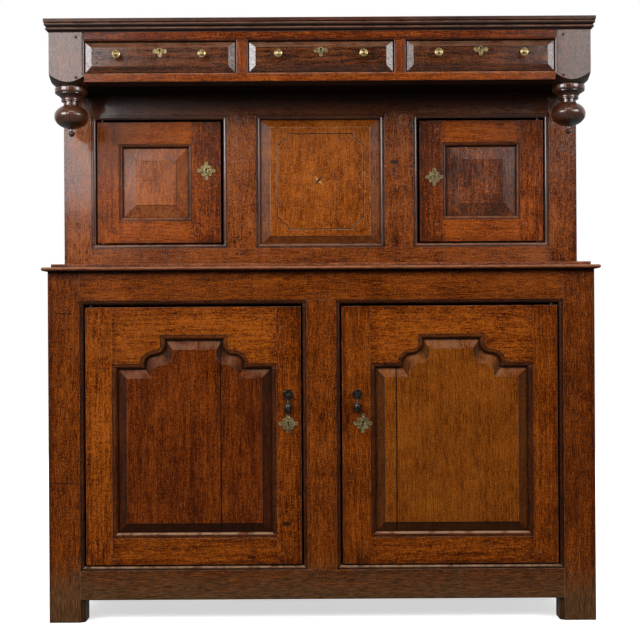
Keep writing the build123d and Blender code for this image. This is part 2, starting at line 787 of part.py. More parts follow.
upper_rail_tenons = [rail_tenons(upper_reach, upper_front, band) for band in upper_rail_bands]
upper_muntin_joints = [
    muntin_tenons(side * upper_muntin_centre, upper_front, upper_muntin_width, upper_flat_z,
                  muntin_tenon_length)
    for side in (-1, 1)
]
upper_muntin_flats = [
    (on_side(side, upper_muntin_centre - upper_flat_half, upper_muntin_centre + upper_flat_half),
     upper_y, upper_flat_z)
    for side in (-1, 1)
]
centre_tongue_y = (upper_front + panel_setback, upper_front + panel_setback + panel_tongue)
centre_groove = ((-upper_muntin_inner - panel_groove, upper_muntin_inner + panel_groove),
                 centre_tongue_y,
                 (upper_opening_z[0] - panel_groove, upper_opening_z[1] + panel_groove))
upper_side_y = (upper_y[1], back_post_front)
upper_side_tenon_x = (upper_side_face - side_rail_thickness / 2 - tenon_thickness / 2,
                      upper_side_face - side_rail_thickness / 2 + tenon_thickness / 2)
upper_side_tongue_x = (upper_side_face - panel_setback - panel_tongue,
                       upper_side_face - panel_setback)


def upper_side_tenons(side, band):
    """The tenons of an upper side rail; the front ones are shorter than the stile is thick."""
    z = (band[0] + tenon_haunch, band[1] - tenon_haunch)
    x = on_side(side, *upper_side_tenon_x)
    return [(x, (upper_side_y[0] - stile_tenon_length, upper_side_y[0]), z),
            (x, (upper_side_y[1], upper_side_y[1] + side_tenon_length), z)]


upper_side_joints = [
    tenon for side in (-1, 1) for band in upper_rail_bands
    for tenon in upper_side_tenons(side, band)
]
upper_side_mortises = [
    longer(tenon, 1, 1 if tenon[1][0] > upper_side_y[0] else -1) for tenon in upper_side_joints
]
upper_side_grooves = [
    (on_side(side, *upper_side_tongue_x),
     (upper_side_y[0] - panel_groove, upper_side_y[1] + panel_groove),
     (upper_opening_z[0] - panel_groove, upper_opening_z[1] + panel_groove))
    for side in (-1, 1)
]
upper_pegs = [
    point for side in (-1, 1) for band in upper_rail_bands
    for point in peg_pair(side * (upper_reach + peg_inset), band)
]
upper_muntin_pegs = [
    (side * upper_muntin_centre, z)
    for side in (-1, 1)
    for z in (upper_flat_z[0] - peg_inset, upper_flat_z[1] + peg_inset)
]

with BuildPart() as upper_stiles:
    add(upper_front_blank.part)
    block((-upper_inner, upper_inner), upper_y, (base_top_z, upper_top), Mode.SUBTRACT)
    for band in upper_rail_bands:
        block((-upper_reach, upper_reach), upper_y, band, Mode.SUBTRACT)
    for tenons, mortises in upper_rail_tenons:
        cut_all(mortises)
    cut_all(upper_side_mortises + upper_side_grooves)
    bore(upper_pegs, peg_hole, upper_y)
save("upper_front_stiles", upper_stiles)

with BuildPart() as upper_muntins:
    add(upper_front_blank.part)
    block((-upper_muntin_outer, upper_muntin_outer), upper_y, upper_opening_z, Mode.INTERSECT)
    for flat in upper_muntin_flats:
        block(*flat)
    for tenons, mortises in upper_muntin_joints:
        for tenon in tenons:
            block(*tenon)
    block(*centre_groove, Mode.SUBTRACT)
    cut_all(upper_bolt_mortises)
    bore(upper_muntin_pegs, peg_hole, upper_y)
save("upper_muntins", upper_muntins)

upper_rails = []
for band, (tenons, mortises) in zip(upper_rail_bands, upper_rail_tenons):
    with BuildPart() as upper_rail:
        add(upper_front_blank.part)
        block((-upper_reach, upper_reach), upper_y, band, Mode.INTERSECT)
        cut_all(upper_muntin_flats)
        for tenon in tenons:
            block(*tenon)
        for muntin_joint in upper_muntin_joints:
            cut_all(muntin_joint[1])
        block(*centre_groove, Mode.SUBTRACT)
        bore(upper_pegs, peg_hole, upper_y)
        bore(upper_muntin_pegs, peg_hole, upper_y)
        for pin in upper_pins:
            upright_pin(pin, hinge_pin_radius,
                        (upper_opening_z[0] - hinge_pin_root, upper_opening_z[1] + hinge_pin_root),
                        Mode.SUBTRACT)
    upper_rails.append(upper_rail)
save("upper_front_rails", *upper_rails)

centre_sight = rectangle_outline((-upper_muntin_inner, upper_muntin_inner), upper_opening_z)
centre_field_x = (centre_field_side_inset - upper_muntin_inner,
                  upper_muntin_inner - centre_field_side_inset)
centre_field_z = (upper_opening_z[0] + centre_field_end_inset,
                  upper_opening_z[1] - centre_field_end_inset)
centre_field_y = upper_front + panel_setback - panel_rise - panel_step
with BuildPart() as centre_panel:
    fielded_panel(facing_front(upper_front + tongue_middle), centre_sight,
                  rectangle_outline(centre_field_x, centre_field_z), panel_groove - panel_play)
    incised_border(facing_front(centre_field_y),
                   (centre_field_x[0] + border_inset, centre_field_x[1] - border_inset),
                   (centre_field_z[0] + border_inset, centre_field_z[1] - border_inset))
save("upper_centre_panel", centre_panel)

# ---- Upper stage: sides and back ----------------------------------------------------------
upper_side_rails = []
for side in (-1, 1):
    for band in upper_rail_bands:
        with BuildPart() as side_rail:
            block(on_side(side, upper_side_inner, upper_side_face), upper_side_y, band)
            for tenon in upper_side_tenons(side, band):
                block(*tenon)
            cut_all(upper_side_grooves)
        upper_side_rails.append(side_rail)
save("side_and_back_rails", *base_side_rails, base_back_rails, *upper_side_rails)

with BuildPart() as upper_side_panels:
    for side in (-1, 1):
        span = tuple(sorted((side * upper_side_y[0], side * upper_side_y[1])))
        inner_span = (span[0] + side_field_inset, span[1] - side_field_inset)
        inner_band = (upper_opening_z[0] + side_field_inset, upper_opening_z[1] - side_field_inset)
        fielded_panel(facing_side(side, upper_side_face - tongue_middle),
                      rectangle_outline(span, upper_opening_z),
                      rectangle_outline(inner_span, inner_band), panel_groove - panel_play)
save("side_panels", base_side_panels, upper_side_panels)

upper_back_reach = upper_half - back_post_width
upper_back_band = (frieze_top - back_top_rail_height, frieze_top)
upper_back_tenons = back_tenons(upper_back_reach, upper_back_band)
frieze_side_x = (frieze_half - frieze_side_thickness, frieze_half)
frieze_side_y = (corner_post_back, back_post_front)
frieze_side_z = (upper_top, frieze_top)
frieze_side_middle = (frieze_side_x[0] + frieze_side_x[1]) / 2
frieze_tenon_x = (frieze_side_middle - tenon_thickness / 2,
                  frieze_side_middle + tenon_thickness / 2)
frieze_side_tenons = [
    tenon for side in (-1, 1)
    for tenon in side_tenons(side, frieze_tenon_x, frieze_side_y, frieze_side_z)
]
frieze_side_mortises = [
    longer(tenon, 1, 1 if tenon[1][0] > 0 else -1) for tenon in frieze_side_tenons
]

with BuildPart() as upper_back_posts:
    for side in (-1, 1):
        block(on_side(side, upper_back_reach, upper_half), (back_post_front, back),
              (base_top_z, frieze_top))
        block(on_side(side, upper_back_reach, upper_back_reach + back_rebate),
              (back_rail_back, back), (base_top_z, frieze_top), Mode.SUBTRACT)
    cut_all(upper_side_mortises + upper_side_grooves + upper_back_tenons + frieze_side_mortises)
save("back_posts", base_back_posts, upper_back_posts)

with BuildPart() as upper_back_rail:
    block((-upper_back_reach, upper_back_reach), back_rail_y, upper_back_band)
    for tenon in upper_back_tenons:
        block(*tenon)
upper_back_board_reach = upper_back_reach + back_rebate
upper_back_boards = boards_across((-upper_back_board_reach, upper_back_board_reach),
                                  (back_rail_back, back), (base_top_z, frieze_top),
                                  back_board_count)
save("back_boards", *base_back_boards, *upper_back_boards, upper_back_rail)

# ---- Frieze -------------------------------------------------------------------------------
corner_x = frieze_half - corner_post_size / 2 - turning_offset
corner_y = front + corner_post_size / 2
ring_top = frieze_bottom - ring_setdown
ring_bottom = ring_top - ring_height
lip_bottom = ring_bottom - ring_lip_height
lip_radius = ring_radius - ring_lip_inset
bead_top = lip_bottom - cove_height
neck_top = bead_top - neck_bead_height
ball_top = neck_top - neck_height
ball_middle = ball_top - ball_height / 2
ball_bottom = ball_top - ball_height
button_top = ball_bottom - stem_height
button_bottom = button_top - button_height
shoulder_reach = corner_post_size               # well outside the corners of the square

frieze_rail_y = (front, front + frieze_rail_thickness)
frieze_top_rail_y = (front, front + frieze_top_rail_thickness)
frieze_rail_bands = [(frieze_bottom, drawer_z[0]), (drawer_z[1], frieze_top)]
frieze_tenons = []
for band in frieze_rail_bands:
    for side in (-1, 1):
        frieze_tenons.append((on_side(side, frieze_inner, frieze_inner + tenon_length),
                              (front + tenon_setback, front + tenon_setback + tenon_thickness),
                              (band[0] + frieze_tenon_haunch, band[1] - frieze_tenon_haunch)))
frieze_pegs = [
    (side * (frieze_inner + peg_inset + frieze_moulding_width), (band[0] + band[1]) / 2)
    for side in (-1, 1) for band in frieze_rail_bands
]

with BuildPart() as corner_posts:
    for side in (-1, 1):
        with BuildSketch(Plane(origin=(side * corner_x, corner_y, 0), x_dir=(1, 0, 0),
                               z_dir=(0, -1, 0))):
            with BuildLine():
                Polyline((0, ring_top), (0, frieze_top), (shoulder_reach, frieze_top),
                         (shoulder_reach, ring_top + shoulder_slope * (shoulder_reach - ring_radius)),
                         (ring_radius - ring_roll, ring_top), (0, ring_top))
            make_face()
        revolve(axis=Axis((side * corner_x, corner_y, 0), (0, 0, 1)))
    for side in (-1, 1):
        spread = on_side(side, frieze_inner, frieze_half)
        block(on_side(side, 0, frieze_inner), (front - shoulder_reach, corner_post_back
              + shoulder_reach), (0, frieze_top), Mode.SUBTRACT)
        block(on_side(side, frieze_half, frieze_half + shoulder_reach),
              (front - shoulder_reach, corner_post_back + shoulder_reach), (0, frieze_top),
              Mode.SUBTRACT)
        block(spread, (front - shoulder_reach, front), (0, frieze_top), Mode.SUBTRACT)
        block(spread, (corner_post_back, corner_post_back + shoulder_reach), (0, frieze_top),
              Mode.SUBTRACT)
        block(on_side(side, frieze_inner, frieze_inner + frieze_moulding_width),
              (front, front + frieze_moulding_quirk),
              (drawer_z[0] - corner_moulding_stop, frieze_top), Mode.SUBTRACT)
    moulded = edges().filter_by(Axis.Z).filter_by_position(
        Axis.Y, front + frieze_moulding_quirk - 0.01, front + frieze_moulding_quirk + 0.01)
    fillet([edge for edge in moulded if abs(abs(edge.center().X) - frieze_inner) < 0.01],
           frieze_moulding_radius)
    for side in (-1, 1):
        with BuildSketch(Plane(origin=(side * corner_x, corner_y, 0), x_dir=(1, 0, 0),
                               z_dir=(0, -1, 0))):
            with BuildLine():
                Polyline((0, ring_top), (ring_radius - ring_roll, ring_top))
                Spline((ring_radius - ring_roll, ring_top),
                       (ring_radius, (ring_top + ring_bottom) / 2),
                       (ring_radius - ring_roll, ring_bottom), tangents=((1, 0), (-1, 0)))
                Polyline((ring_radius - ring_roll, ring_bottom), (lip_radius, ring_bottom),
                         (lip_radius, lip_bottom))
                RadiusArc((lip_radius, lip_bottom), (cove_foot_radius, bead_top), -cove_reach)
                Polyline((cove_foot_radius, bead_top), (cove_foot_radius, neck_top),
                         (neck_radius, neck_top), (neck_radius, ball_top - turning_lap),
                         (0, ball_top - turning_lap), (0, ring_top))
            make_face()
            with Locations((0, (bead_top + neck_top) / 2)):
                Ellipse(neck_bead_radius, neck_bead_height / 2)
            with Locations((0, ball_middle)):
                Ellipse(ball_radius, ball_height / 2)
            with Locations((ball_line_radius, ball_middle - ball_line_drop)):
                Circle(ball_line_size, mode=Mode.SUBTRACT)
            with Locations((0, (ball_bottom + button_top) / 2)):
                Rectangle(2 * stem_radius, stem_height + 2 * turning_lap)
            with Locations((0, (button_top + button_bottom) / 2)):
                Ellipse(button_radius, button_height / 2)
            with Locations((-shoulder_reach / 2, 0)):
                Rectangle(shoulder_reach, 2 * frieze_top, mode=Mode.SUBTRACT)
        revolve(axis=Axis((side * corner_x, corner_y, 0), (0, 0, 1)))
    cut_all([longer(tenon, 0, 1 if tenon[0][0] > 0 else -1) for tenon in frieze_tenons])
    cut_all(frieze_side_mortises)
    bore(frieze_pegs, peg_hole, (front, front + frieze_rail_thickness))
save("corner_posts", corner_posts)

divider_x = [middle_drawer_offset + side * divider_centre for side in (-1, 1)]
divider_tenons = [
    ((x - divider_width / 4, x + divider_width / 4),
     (front + tenon_setback, front + tenon_setback + tenon_thickness), z)
    for x in divider_x
    for z in ((drawer_z[0] - divider_stub, drawer_z[0]), (drawer_z[1], drawer_z[1] + divider_stub))
]
drawer_spans = {
    "left": (-frieze_inner, divider_x[0] - divider_width / 2),
    "middle": (divider_x[0] + divider_width / 2, divider_x[1] - divider_width / 2),
    "right": (divider_x[1] + divider_width / 2, frieze_inner),
}
drawer_centres = {name: (span[0] + span[1]) / 2 for name, span in drawer_spans.items()}
drawer_front_z = (drawer_z[0] + drawer_lower_gap, drawer_z[1] - drawer_upper_gap)
drawer_brass_z = (drawer_front_z[0] + drawer_front_z[1]) / 2 + drawer_brass_rise
drawer_key_z = drawer_brass_z + drawer_key_rise
drawer_lock_back = front + drawer_front_setback + drawer_front_thickness
drawer_bolt_y = (drawer_lock_back - lock_depth + lock_lip,
                 drawer_lock_back - lock_depth + lock_lip + bolt_thickness)
drawer_bolt_mortises = [
    ((centre - bolt_height / 2 - bolt_clearance, centre + bolt_height / 2 + bolt_clearance),
     (drawer_bolt_y[0] - bolt_clearance, drawer_bolt_y[1] + bolt_clearance),
     (drawer_z[1], drawer_z[1] + bolt_throw + bolt_clearance))
    for centre in drawer_centres.values()
]

frieze_face_y = (front, front + frieze_moulding_depth)
frieze_spread = (-frieze_inner, frieze_inner)
with BuildPart() as frieze_face:
    block((-frieze_half, frieze_half), frieze_face_y, (frieze_bottom, frieze_top))
    moulded_openings(drawer_spans.values(), drawer_z, frieze_face_y, frieze_moulding_width,
                     frieze_moulding_quirk, frieze_moulding_radius)
frieze_rails = []
for band, y in zip(frieze_rail_bands, (frieze_rail_y, frieze_top_rail_y)):
    with BuildPart() as frieze_rail:
        add(frieze_face.part)
        block(frieze_spread, frieze_face_y, band, Mode.INTERSECT)
        block(frieze_spread, (frieze_face_y[1], y[1]), band)
        for tenon in frieze_tenons:
            if band[0] < tenon[2][0] < band[1]:
                block(*tenon)
        cut_all(divider_tenons + drawer_bolt_mortises)
        bore(frieze_pegs, peg_hole, y)
    frieze_rails.append(frieze_rail)
with BuildPart() as dividers:
    add(frieze_face.part)
    block((drawer_spans["left"][1], drawer_spans["right"][0]), frieze_face_y, drawer_z,
          Mode.INTERSECT)
    for x in divider_x:
        block((x - divider_width / 2, x + divider_width / 2),
              (frieze_face_y[1], front + divider_thickness), drawer_z)
        block((x - divider_width / 2, x + divider_width / 2),
              (front + frieze_top_rail_thickness, front + divider_thickness),
              (drawer_z[1], frieze_top))
    for tenon in divider_tenons:
        block(*tenon)
save("frieze_rails_and_dividers", *frieze_rails, dividers)

with BuildPart() as frieze_sides:
    for side in (-1, 1):
        block(on_side(side, *frieze_side_x), frieze_side_y, frieze_side_z)
    for tenon in frieze_side_tenons:
        block(*tenon)
save("frieze_side_boards", frieze_sides)

soffit_z = (upper_top, upper_top + soffit_thickness)
soffit_y = (frieze_rail_y[1], back_rail_back)
soffit_boards = boards_deep((-frieze_side_x[0], frieze_side_x[0]), soffit_y, soffit_z,
                            soffit_board_count)
for board in soffit_boards:
    with board:
        for side in (-1, 1):
            block(on_side(side, frieze_inner, frieze_half), (front, corner_post_back), soffit_z,
                  Mode.SUBTRACT)
            block(on_side(side, upper_back_reach, frieze_half), (back_post_front, back), soffit_z,
                  Mode.SUBTRACT)

runner_z = (soffit_z[1], drawer_z[0])
runner_y = (frieze_rail_y[1], back_rail_front)
guide_z = (drawer_z[0], drawer_z[0] + guide_height)
drawer_half = {
    name: (span[1] - span[0]) / 2 - drawer_side_gap for name, span in drawer_spans.items()
}
with BuildPart() as drawer_runners:
    for x in (-frieze_inner, frieze_inner):
        side = 1 if x > 0 else -1
        outer_y = (corner_post_back, back_rail_front)
        block(on_side(side, frieze_inner - runner_width, frieze_side_x[0]), outer_y, runner_z)
        block(on_side(side, frieze_inner - drawer_side_gap + guide_clearance, frieze_side_x[0]),
              outer_y, guide_z)
        block(on_side(side, frieze_inner - runner_width, frieze_inner), runner_y, runner_z)
        block(on_side(side, upper_back_reach, frieze_half), (back_post_front, back),
              (runner_z[0], guide_z[1]), Mode.SUBTRACT)
    for x in divider_x:
        wide = divider_width / 2 + runner_width
        block((x - wide, x + wide), runner_y, runner_z)
        guide = divider_width / 2 + drawer_side_gap - guide_clearance
        block((x - guide, x + guide), runner_y, guide_z)
save("runners_and_bearers", drawer_runners, shelf_bearers)

# ---- Cornice and top ------------------------------------------------------------------------
cornice_height = (cornice_cove + 2 * cornice_small_bead + cornice_quirk + 2 * cornice_large_bead
                  + cornice_fillet)
cornice_half = frieze_half + cornice_projection
cornice_front = front - cornice_projection
cornice_inner_half = frieze_half - cornice_seat
cornice_inner_front = front + cornice_seat


def cornice_profile():
    """The section of the cornice: outwards from the frieze face, and up from its top."""
    small_foot = cornice_cove
    small_head = small_foot + 2 * cornice_small_bead
    large_foot = small_head + cornice_quirk
    large_head = large_foot + 2 * cornice_large_bead
    set_out = cornice_cove - cornice_bead_setback
    large_out = cornice_projection - cornice_large_bead - cornice_fillet_lip
    with BuildLine() as edge:
        TangentArc((0, 0), (set_out, small_foot), tangent=(0, 1))
        ThreePointArc((set_out, small_foot),
                      (set_out + cornice_small_bead, (small_foot + small_head) / 2),
                      (set_out, small_head))
        Polyline((set_out, small_head), (set_out, large_foot), (large_out, large_foot))
        ThreePointArc((large_out, large_foot),
                      (large_out + cornice_large_bead, (large_foot + large_head) / 2),
                      (large_out, large_head))
        Polyline((large_out, large_head), (cornice_projection, large_head),
                 (cornice_projection, cornice_height), (-cornice_seat, cornice_height),
                 (-cornice_seat, 0), (0, 0))
    make_face(edge.edges())


with BuildPart() as front_cornice:
    with BuildSketch(Plane(origin=(cornice_half, front, frieze_top), x_dir=(0, -1, 0),
                           z_dir=(-1, 0, 0))):
        cornice_profile()
    extrude(amount=2 * cornice_half)
    with BuildSketch(Plane.XY.offset(frieze_top)):
        for side in (-1, 1):
            Polygon((side * cornice_half, cornice_front),
                    (side * cornice_inner_half, cornice_inner_front),
                    (side * cornice_half, cornice_inner_front), align=None)
    extrude(amount=cornice_height, mode=Mode.SUBTRACT)
side_cornices = []
for side in (-1, 1):
    with BuildPart() as side_cornice:
        start = back if side > 0 else cornice_front
        with BuildSketch(Plane(origin=(side * frieze_half, start, frieze_top),
                               x_dir=(side, 0, 0), z_dir=(0, -side, 0))):
            cornice_profile()
        extrude(amount=back - cornice_front)
        with BuildSketch(Plane.XY.offset(frieze_top)):
            Polygon((side * cornice_half, cornice_front),
                    (side * cornice_inner_half, cornice_inner_front),
                    (side * cornice_inner_half, cornice_front), align=None)
        extrude(amount=cornice_height, mode=Mode.SUBTRACT)
    side_cornices.append(side_cornice)
save("cornice", front_cornice, *side_cornices)

top_boards = boards_deep((-cornice_inner_half, cornice_inner_half), (cornice_inner_front, back),
                         (frieze_top, frieze_top + top_board_thickness), top_board_count)
save("top_and_soffit_boards", *top_boards, *soffit_boards)

# ---- Pegs and hinge pins ----------------------------------------------------------------------
with BuildPart() as carcass_pegs:
    bore(base_pegs + base_muntin_pegs, peg_radius, (front - peg_proud, front + peg_length), Mode.ADD)
    bore(upper_pegs + upper_muntin_pegs, peg_radius,
         (upper_front - peg_proud, upper_front + peg_length), Mode.ADD)
    bore(frieze_pegs, peg_radius, (front - peg_proud, front + peg_length), Mode.ADD)
save("carcass_pegs", carcass_pegs)

with BuildPart() as hinge_pins:
    for pins, opening_z in ((lower_pins, base_opening_z), (upper_pins, upper_opening_z)):
        door_foot = opening_z[0] + door_lower_gap
        door_head = opening_z[1] - door_upper_gap
        for pin in pins:
            upright_pin(pin, hinge_pin_radius,
                        (opening_z[0] - hinge_pin_root, door_foot + hinge_pin_depth))
            upright_pin(pin, hinge_collar_radius, (opening_z[0], door_foot))
            upright_pin(pin, hinge_pin_radius,
                        (door_head - hinge_pin_depth, opening_z[1] + hinge_pin_root))
save("hinge_pins", hinge_pins)


# ---- Doors ------------------------------------------------------------------------------------
def keyhole(point_height):
    """Draw a keyhole: a round head with a slot below it."""
    with Locations((0, point_height)):
        Circle(keyhole_radius)
    with Locations((0, point_height - keyhole_length / 2)):
        Rectangle(keyhole_slot, keyhole_length)


def draw_escutcheon(height):
    """Draw a lozenge with a pierced lobe on each corner, a lobe on each side and a keyhole."""
    lobes = [(escutcheon_reach, height), (-escutcheon_reach, height),
             (0, height + escutcheon_reach), (0, height - escutcheon_reach)]
    side_reach = escutcheon_side / 2 * math.sqrt(0.5)
    with Locations((0, height)):
        Rectangle(escutcheon_side, escutcheon_side, rotation=45)
        with GridLocations(2 * side_reach, 2 * side_reach, 2, 2):
            Circle(escutcheon_small_lobe)
    with Locations(*lobes):
        Circle(escutcheon_lobe)
    with Locations(*lobes):
        Circle(escutcheon_hole, mode=Mode.SUBTRACT)
    with BuildSketch() as key:
        keyhole(height + keyhole_radius)
    add(key.sketch, mode=Mode.SUBTRACT)


def make_door(stage, name, x, z, face, sight_z, stile_widths, moulding, draw_sight, draw_field,
              key_inset, lock_height_above_floor):
    """Make the frame, panel, escutcheon, lock and bolt of one door.

    The sight is the opening of the frame, drawn about its own middle line. Its Z span ends
    at the shoulders of an arched top rail. The moulding is given by its width and radius.
    """
    moulding_span, moulding_round = moulding
    hinge_side = hand[name]
    y = (face, face + door_thickness)
    sight_x = (x[0] + stile_widths[0], x[1] - stile_widths[1])
    joint_x = (sight_x[0] - moulding_span, sight_x[1] + moulding_span)
    middle = (sight_x[0] + sight_x[1]) / 2
    plane = facing_front(face, middle)
    lock_edge = x[1] if hinge_side < 0 else x[0]
    key_x = lock_edge + hinge_side * key_inset
    lock_x = tuple(sorted((lock_edge, lock_edge + hinge_side * (key_inset + lock_margin))))
    lock_y = (y[1] - lock_depth, y[1])
    lock_z = (lock_height_above_floor - lock_height / 2, lock_height_above_floor + lock_height / 2)
    bolt_y = (face + bolt_front, face + bolt_front + bolt_thickness)
    bolt_z = (lock_height_above_floor - bolt_height / 2, lock_height_above_floor + bolt_height / 2)
    bolt_x = tuple(sorted((lock_edge + hinge_side * bolt_clearance,
                           lock_edge + hinge_side * (bolt_clearance + bolt_length))))
    rail_bands_here = [(z[0], sight_z[0]), (sight_z[1], z[1])]
    tenon_y = (face + tenon_setback, face + tenon_setback + tenon_thickness)
    joints = []
    for band in rail_bands_here:
        tenon_z = (band[0] + tenon_haunch, band[1] - tenon_haunch)
        joints.append([((joint_x[0] - tenon_length, joint_x[0]), tenon_y, tenon_z),
                       ((joint_x[1], joint_x[1] + tenon_length), tenon_y, tenon_z)])
    pegs = [point for band in rail_bands_here
            for edge in (joint_x[0] - peg_inset, joint_x[1] + peg_inset)
            for point in peg_pair(edge, band)]
    pin = door_pin(x, hinge_side, face)

    with BuildPart() as blank:
        block(x, y, z)
        with BuildSketch(plane) as sight:
            draw_sight()
        extrude(sight.sketch, amount=-door_thickness, mode=Mode.SUBTRACT)
        with BuildSketch(plane) as margin:
            draw_sight()
            offset(amount=moulding_span, kind=Kind.INTERSECTION)
        extrude(margin.sketch, amount=-door_moulding_quirk, mode=Mode.SUBTRACT)
        round_moulding(face, door_moulding_quirk, moulding_round)
        with BuildSketch(plane.offset(-panel_setback)) as groove:
            draw_sight()
            offset(amount=panel_groove, kind=Kind.INTERSECTION)
        extrude(groove.sketch, amount=-panel_tongue, mode=Mode.SUBTRACT)
    rails = []
    for band, tenons in zip(rail_bands_here, joints):
        with BuildPart() as rail:
            add(blank.part)
            block(joint_x, y, band, Mode.INTERSECT)
            for tenon in tenons:
                block(*tenon)
            bore(pegs, peg_hole, y)
        rails.append(rail)
    with BuildPart() as stiles:
        add(blank.part)
        for band, tenons in zip(rail_bands_here, joints):
            block(joint_x, y, band, Mode.SUBTRACT)
            cut_all([longer(tenon, 0, side) for tenon, side in zip(tenons, (-1, 1))])
        bore(pegs, peg_hole, y)
        block(lock_x, lock_y, lock_z, Mode.SUBTRACT)
        with BuildSketch(facing_front(face, key_x)) as key:
            keyhole(lock_height_above_floor + keyhole_radius)
        extrude(key.sketch, amount=-door_thickness, mode=Mode.SUBTRACT)
        for low, high in ((z[0], z[0] + hinge_pin_depth + hinge_pin_end_gap),
                          (z[1] - hinge_pin_depth - hinge_pin_end_gap, z[1])):
            upright_pin(pin, hinge_pin_radius + hinge_pin_clearance, (low, high), Mode.SUBTRACT)
    with BuildPart() as door_pegs:
        bore(pegs, peg_radius, (face - peg_proud, y[1]), Mode.ADD)
    save(f"{stage}_door_{name}_frame", stiles, *rails, door_pegs)

    with BuildPart() as panel:
        fielded_panel(plane.offset(-tongue_middle), draw_sight, draw_field,
                      panel_groove - panel_play)
    save(f"{stage}_door_{name}_panel", panel)

    with BuildPart() as escutcheon:
        with BuildSketch(facing_front(face, key_x)) as plate:
            draw_escutcheon(lock_height_above_floor)
        extrude(plate.sketch, amount=escutcheon_thickness)
    save(f"{stage}_door_{name}_escutcheon", escutcheon)

    with BuildPart() as lock:
        block(lock_x, lock_y, lock_z)
        channel = tuple(sorted((lock_edge, bolt_x[0] if hinge_side < 0 else bolt_x[1])))
        channel = (channel[0] - bolt_clearance, channel[1] + bolt_clearance)
        block(channel, (bolt_y[0] - bolt_clearance, bolt_y[1] + bolt_clearance),
              (bolt_z[0] - bolt_clearance, bolt_z[1] + bolt_clearance), Mode.SUBTRACT)
        with BuildSketch(facing_front(face, key_x)) as key:
            keyhole(lock_height_above_floor + keyhole_radius)
        extrude(key.sketch, amount=-door_thickness, mode=Mode.SUBTRACT)
    save(f"{stage}_door_{name}_lock", lock)

    with BuildPart() as bolt:
        block(bolt_x, bolt_y, bolt_z)
    save(f"{stage}_door_{name}_bolt", bolt)


lower_key_inset = {"left": lower_left_key_inset, "right": lower_right_key_inset}
lower_door_stiles = {"left": lower_left_door_stiles, "right": lower_right_door_stiles}
lower_door_moulding = (lower_door_moulding_width, lower_door_moulding_radius)
upper_door_stiles = {"left": upper_left_door_stiles, "right": upper_right_door_stiles}
upper_door_moulding = (upper_door_moulding_width, upper_door_moulding_radius)
for name in hand:
    span = lower_door_x[name]
    half_sight = (span[1] - span[0] - sum(lower_door_stiles[name])) / 2
    sight_foot = lower_door_z[0] + lower_door_bottom_rail
    shoulder = lower_door_z[1] - lower_door_shoulder_rail
    lower_sight = arch_outline(half_sight, sight_foot, shoulder, arch_crown_width / 2)
    make_door("lower", name, span, lower_door_z, lower_face, (sight_foot, shoulder),
              lower_door_stiles[name], lower_door_moulding, lower_sight,
              lambda: lower_sight(lower_field_inset, lower_field_crown_inset),
              lower_key_inset[name], lower_lock_z[name])

for name in hand:
    span = upper_door_x[name]
    half_sight = (span[1] - span[0] - sum(upper_door_stiles[name])) / 2
    upper_sight_z = (upper_door_z[0] + upper_door_rail, upper_door_z[1] - upper_door_rail)
    upper_sight = rectangle_outline((-half_sight, half_sight), upper_sight_z)
    make_door("upper", name, span, upper_door_z, upper_face, upper_sight_z,
              upper_door_stiles[name], upper_door_moulding, upper_sight,
              lambda: upper_sight(upper_field_inset),
              upper_key_inset, upper_lock_z[name])

# ---- Drop handles -------------------------------------------------------------------------------
handle_x = {
    "left": lower_door_x["left"][1] - lower_left_key_inset,
    "right": lower_door_x["right"][0] + lower_right_key_inset - handle_right_offset,
}
handle_axis_y = lower_face - handle_axis_distance
for name, x in handle_x.items():
    z = lower_lock_z[name] + handle_rise
    slot_back = handle_axis_y + eye_radius + handle_bore_gap
    with BuildPart() as rose:
        bore([(x, z)], rose_radius, (lower_face - rose_thickness, lower_face), Mode.ADD)
        block((x - lug_width / 2, x + lug_width / 2),
              (handle_axis_y - lug_nose, lower_face - rose_thickness),
              (z - lug_height / 2, z + lug_height / 2))
        block((x - lug_slot / 2, x + lug_slot / 2), (handle_axis_y - lug_height, slot_back),
              (z - lug_height, z + lug_height), Mode.SUBTRACT)
        with Locations((x, handle_axis_y, z)):
            Cylinder(handle_pin_radius, lug_width, rotation=(0, 90, 0))
    save(f"lower_door_{name}_handle_rose", rose)

    with BuildPart() as drop:
        with Locations((x, handle_axis_y, z)):
            Cylinder(eye_radius, eye_thickness, rotation=(0, 90, 0))
        block((x - eye_thickness / 2, x + eye_thickness / 2),
              (handle_axis_y - drop_neck_radius, handle_axis_y + drop_neck_radius),
              (z - drop_tang, z))
        with BuildSketch(Plane(origin=(x, handle_axis_y, z), x_dir=(1, 0, 0), z_dir=(0, -1, 0))):
            with BuildLine():
                Polyline((0, drop_tang_lap - drop_tang),
                         (drop_neck_radius, drop_tang_lap - drop_tang),
                         (drop_neck_radius, -drop_tang - drop_collar))
                Spline((drop_neck_radius, -drop_tang - drop_collar), (drop_radius, -drop_belly),
                       tangents=((0, -1), (0, -1)))
                Spline((drop_radius, -drop_belly), (0, -drop_length), tangents=((0, -1), (-1, 0)))
                Line((0, -drop_length), (0, drop_tang_lap - drop_tang))
            make_face()
        revolve(axis=Axis((x, handle_axis_y, z), (0, 0, 1)))
        with Locations((x, handle_axis_y, z)):
            Cylinder(handle_pin_radius + handle_pin_clearance, 2 * eye_thickness,
                     rotation=(0, 90, 0), mode=Mode.SUBTRACT)
    save(f"lower_door_{name}_handle_drop", drop)

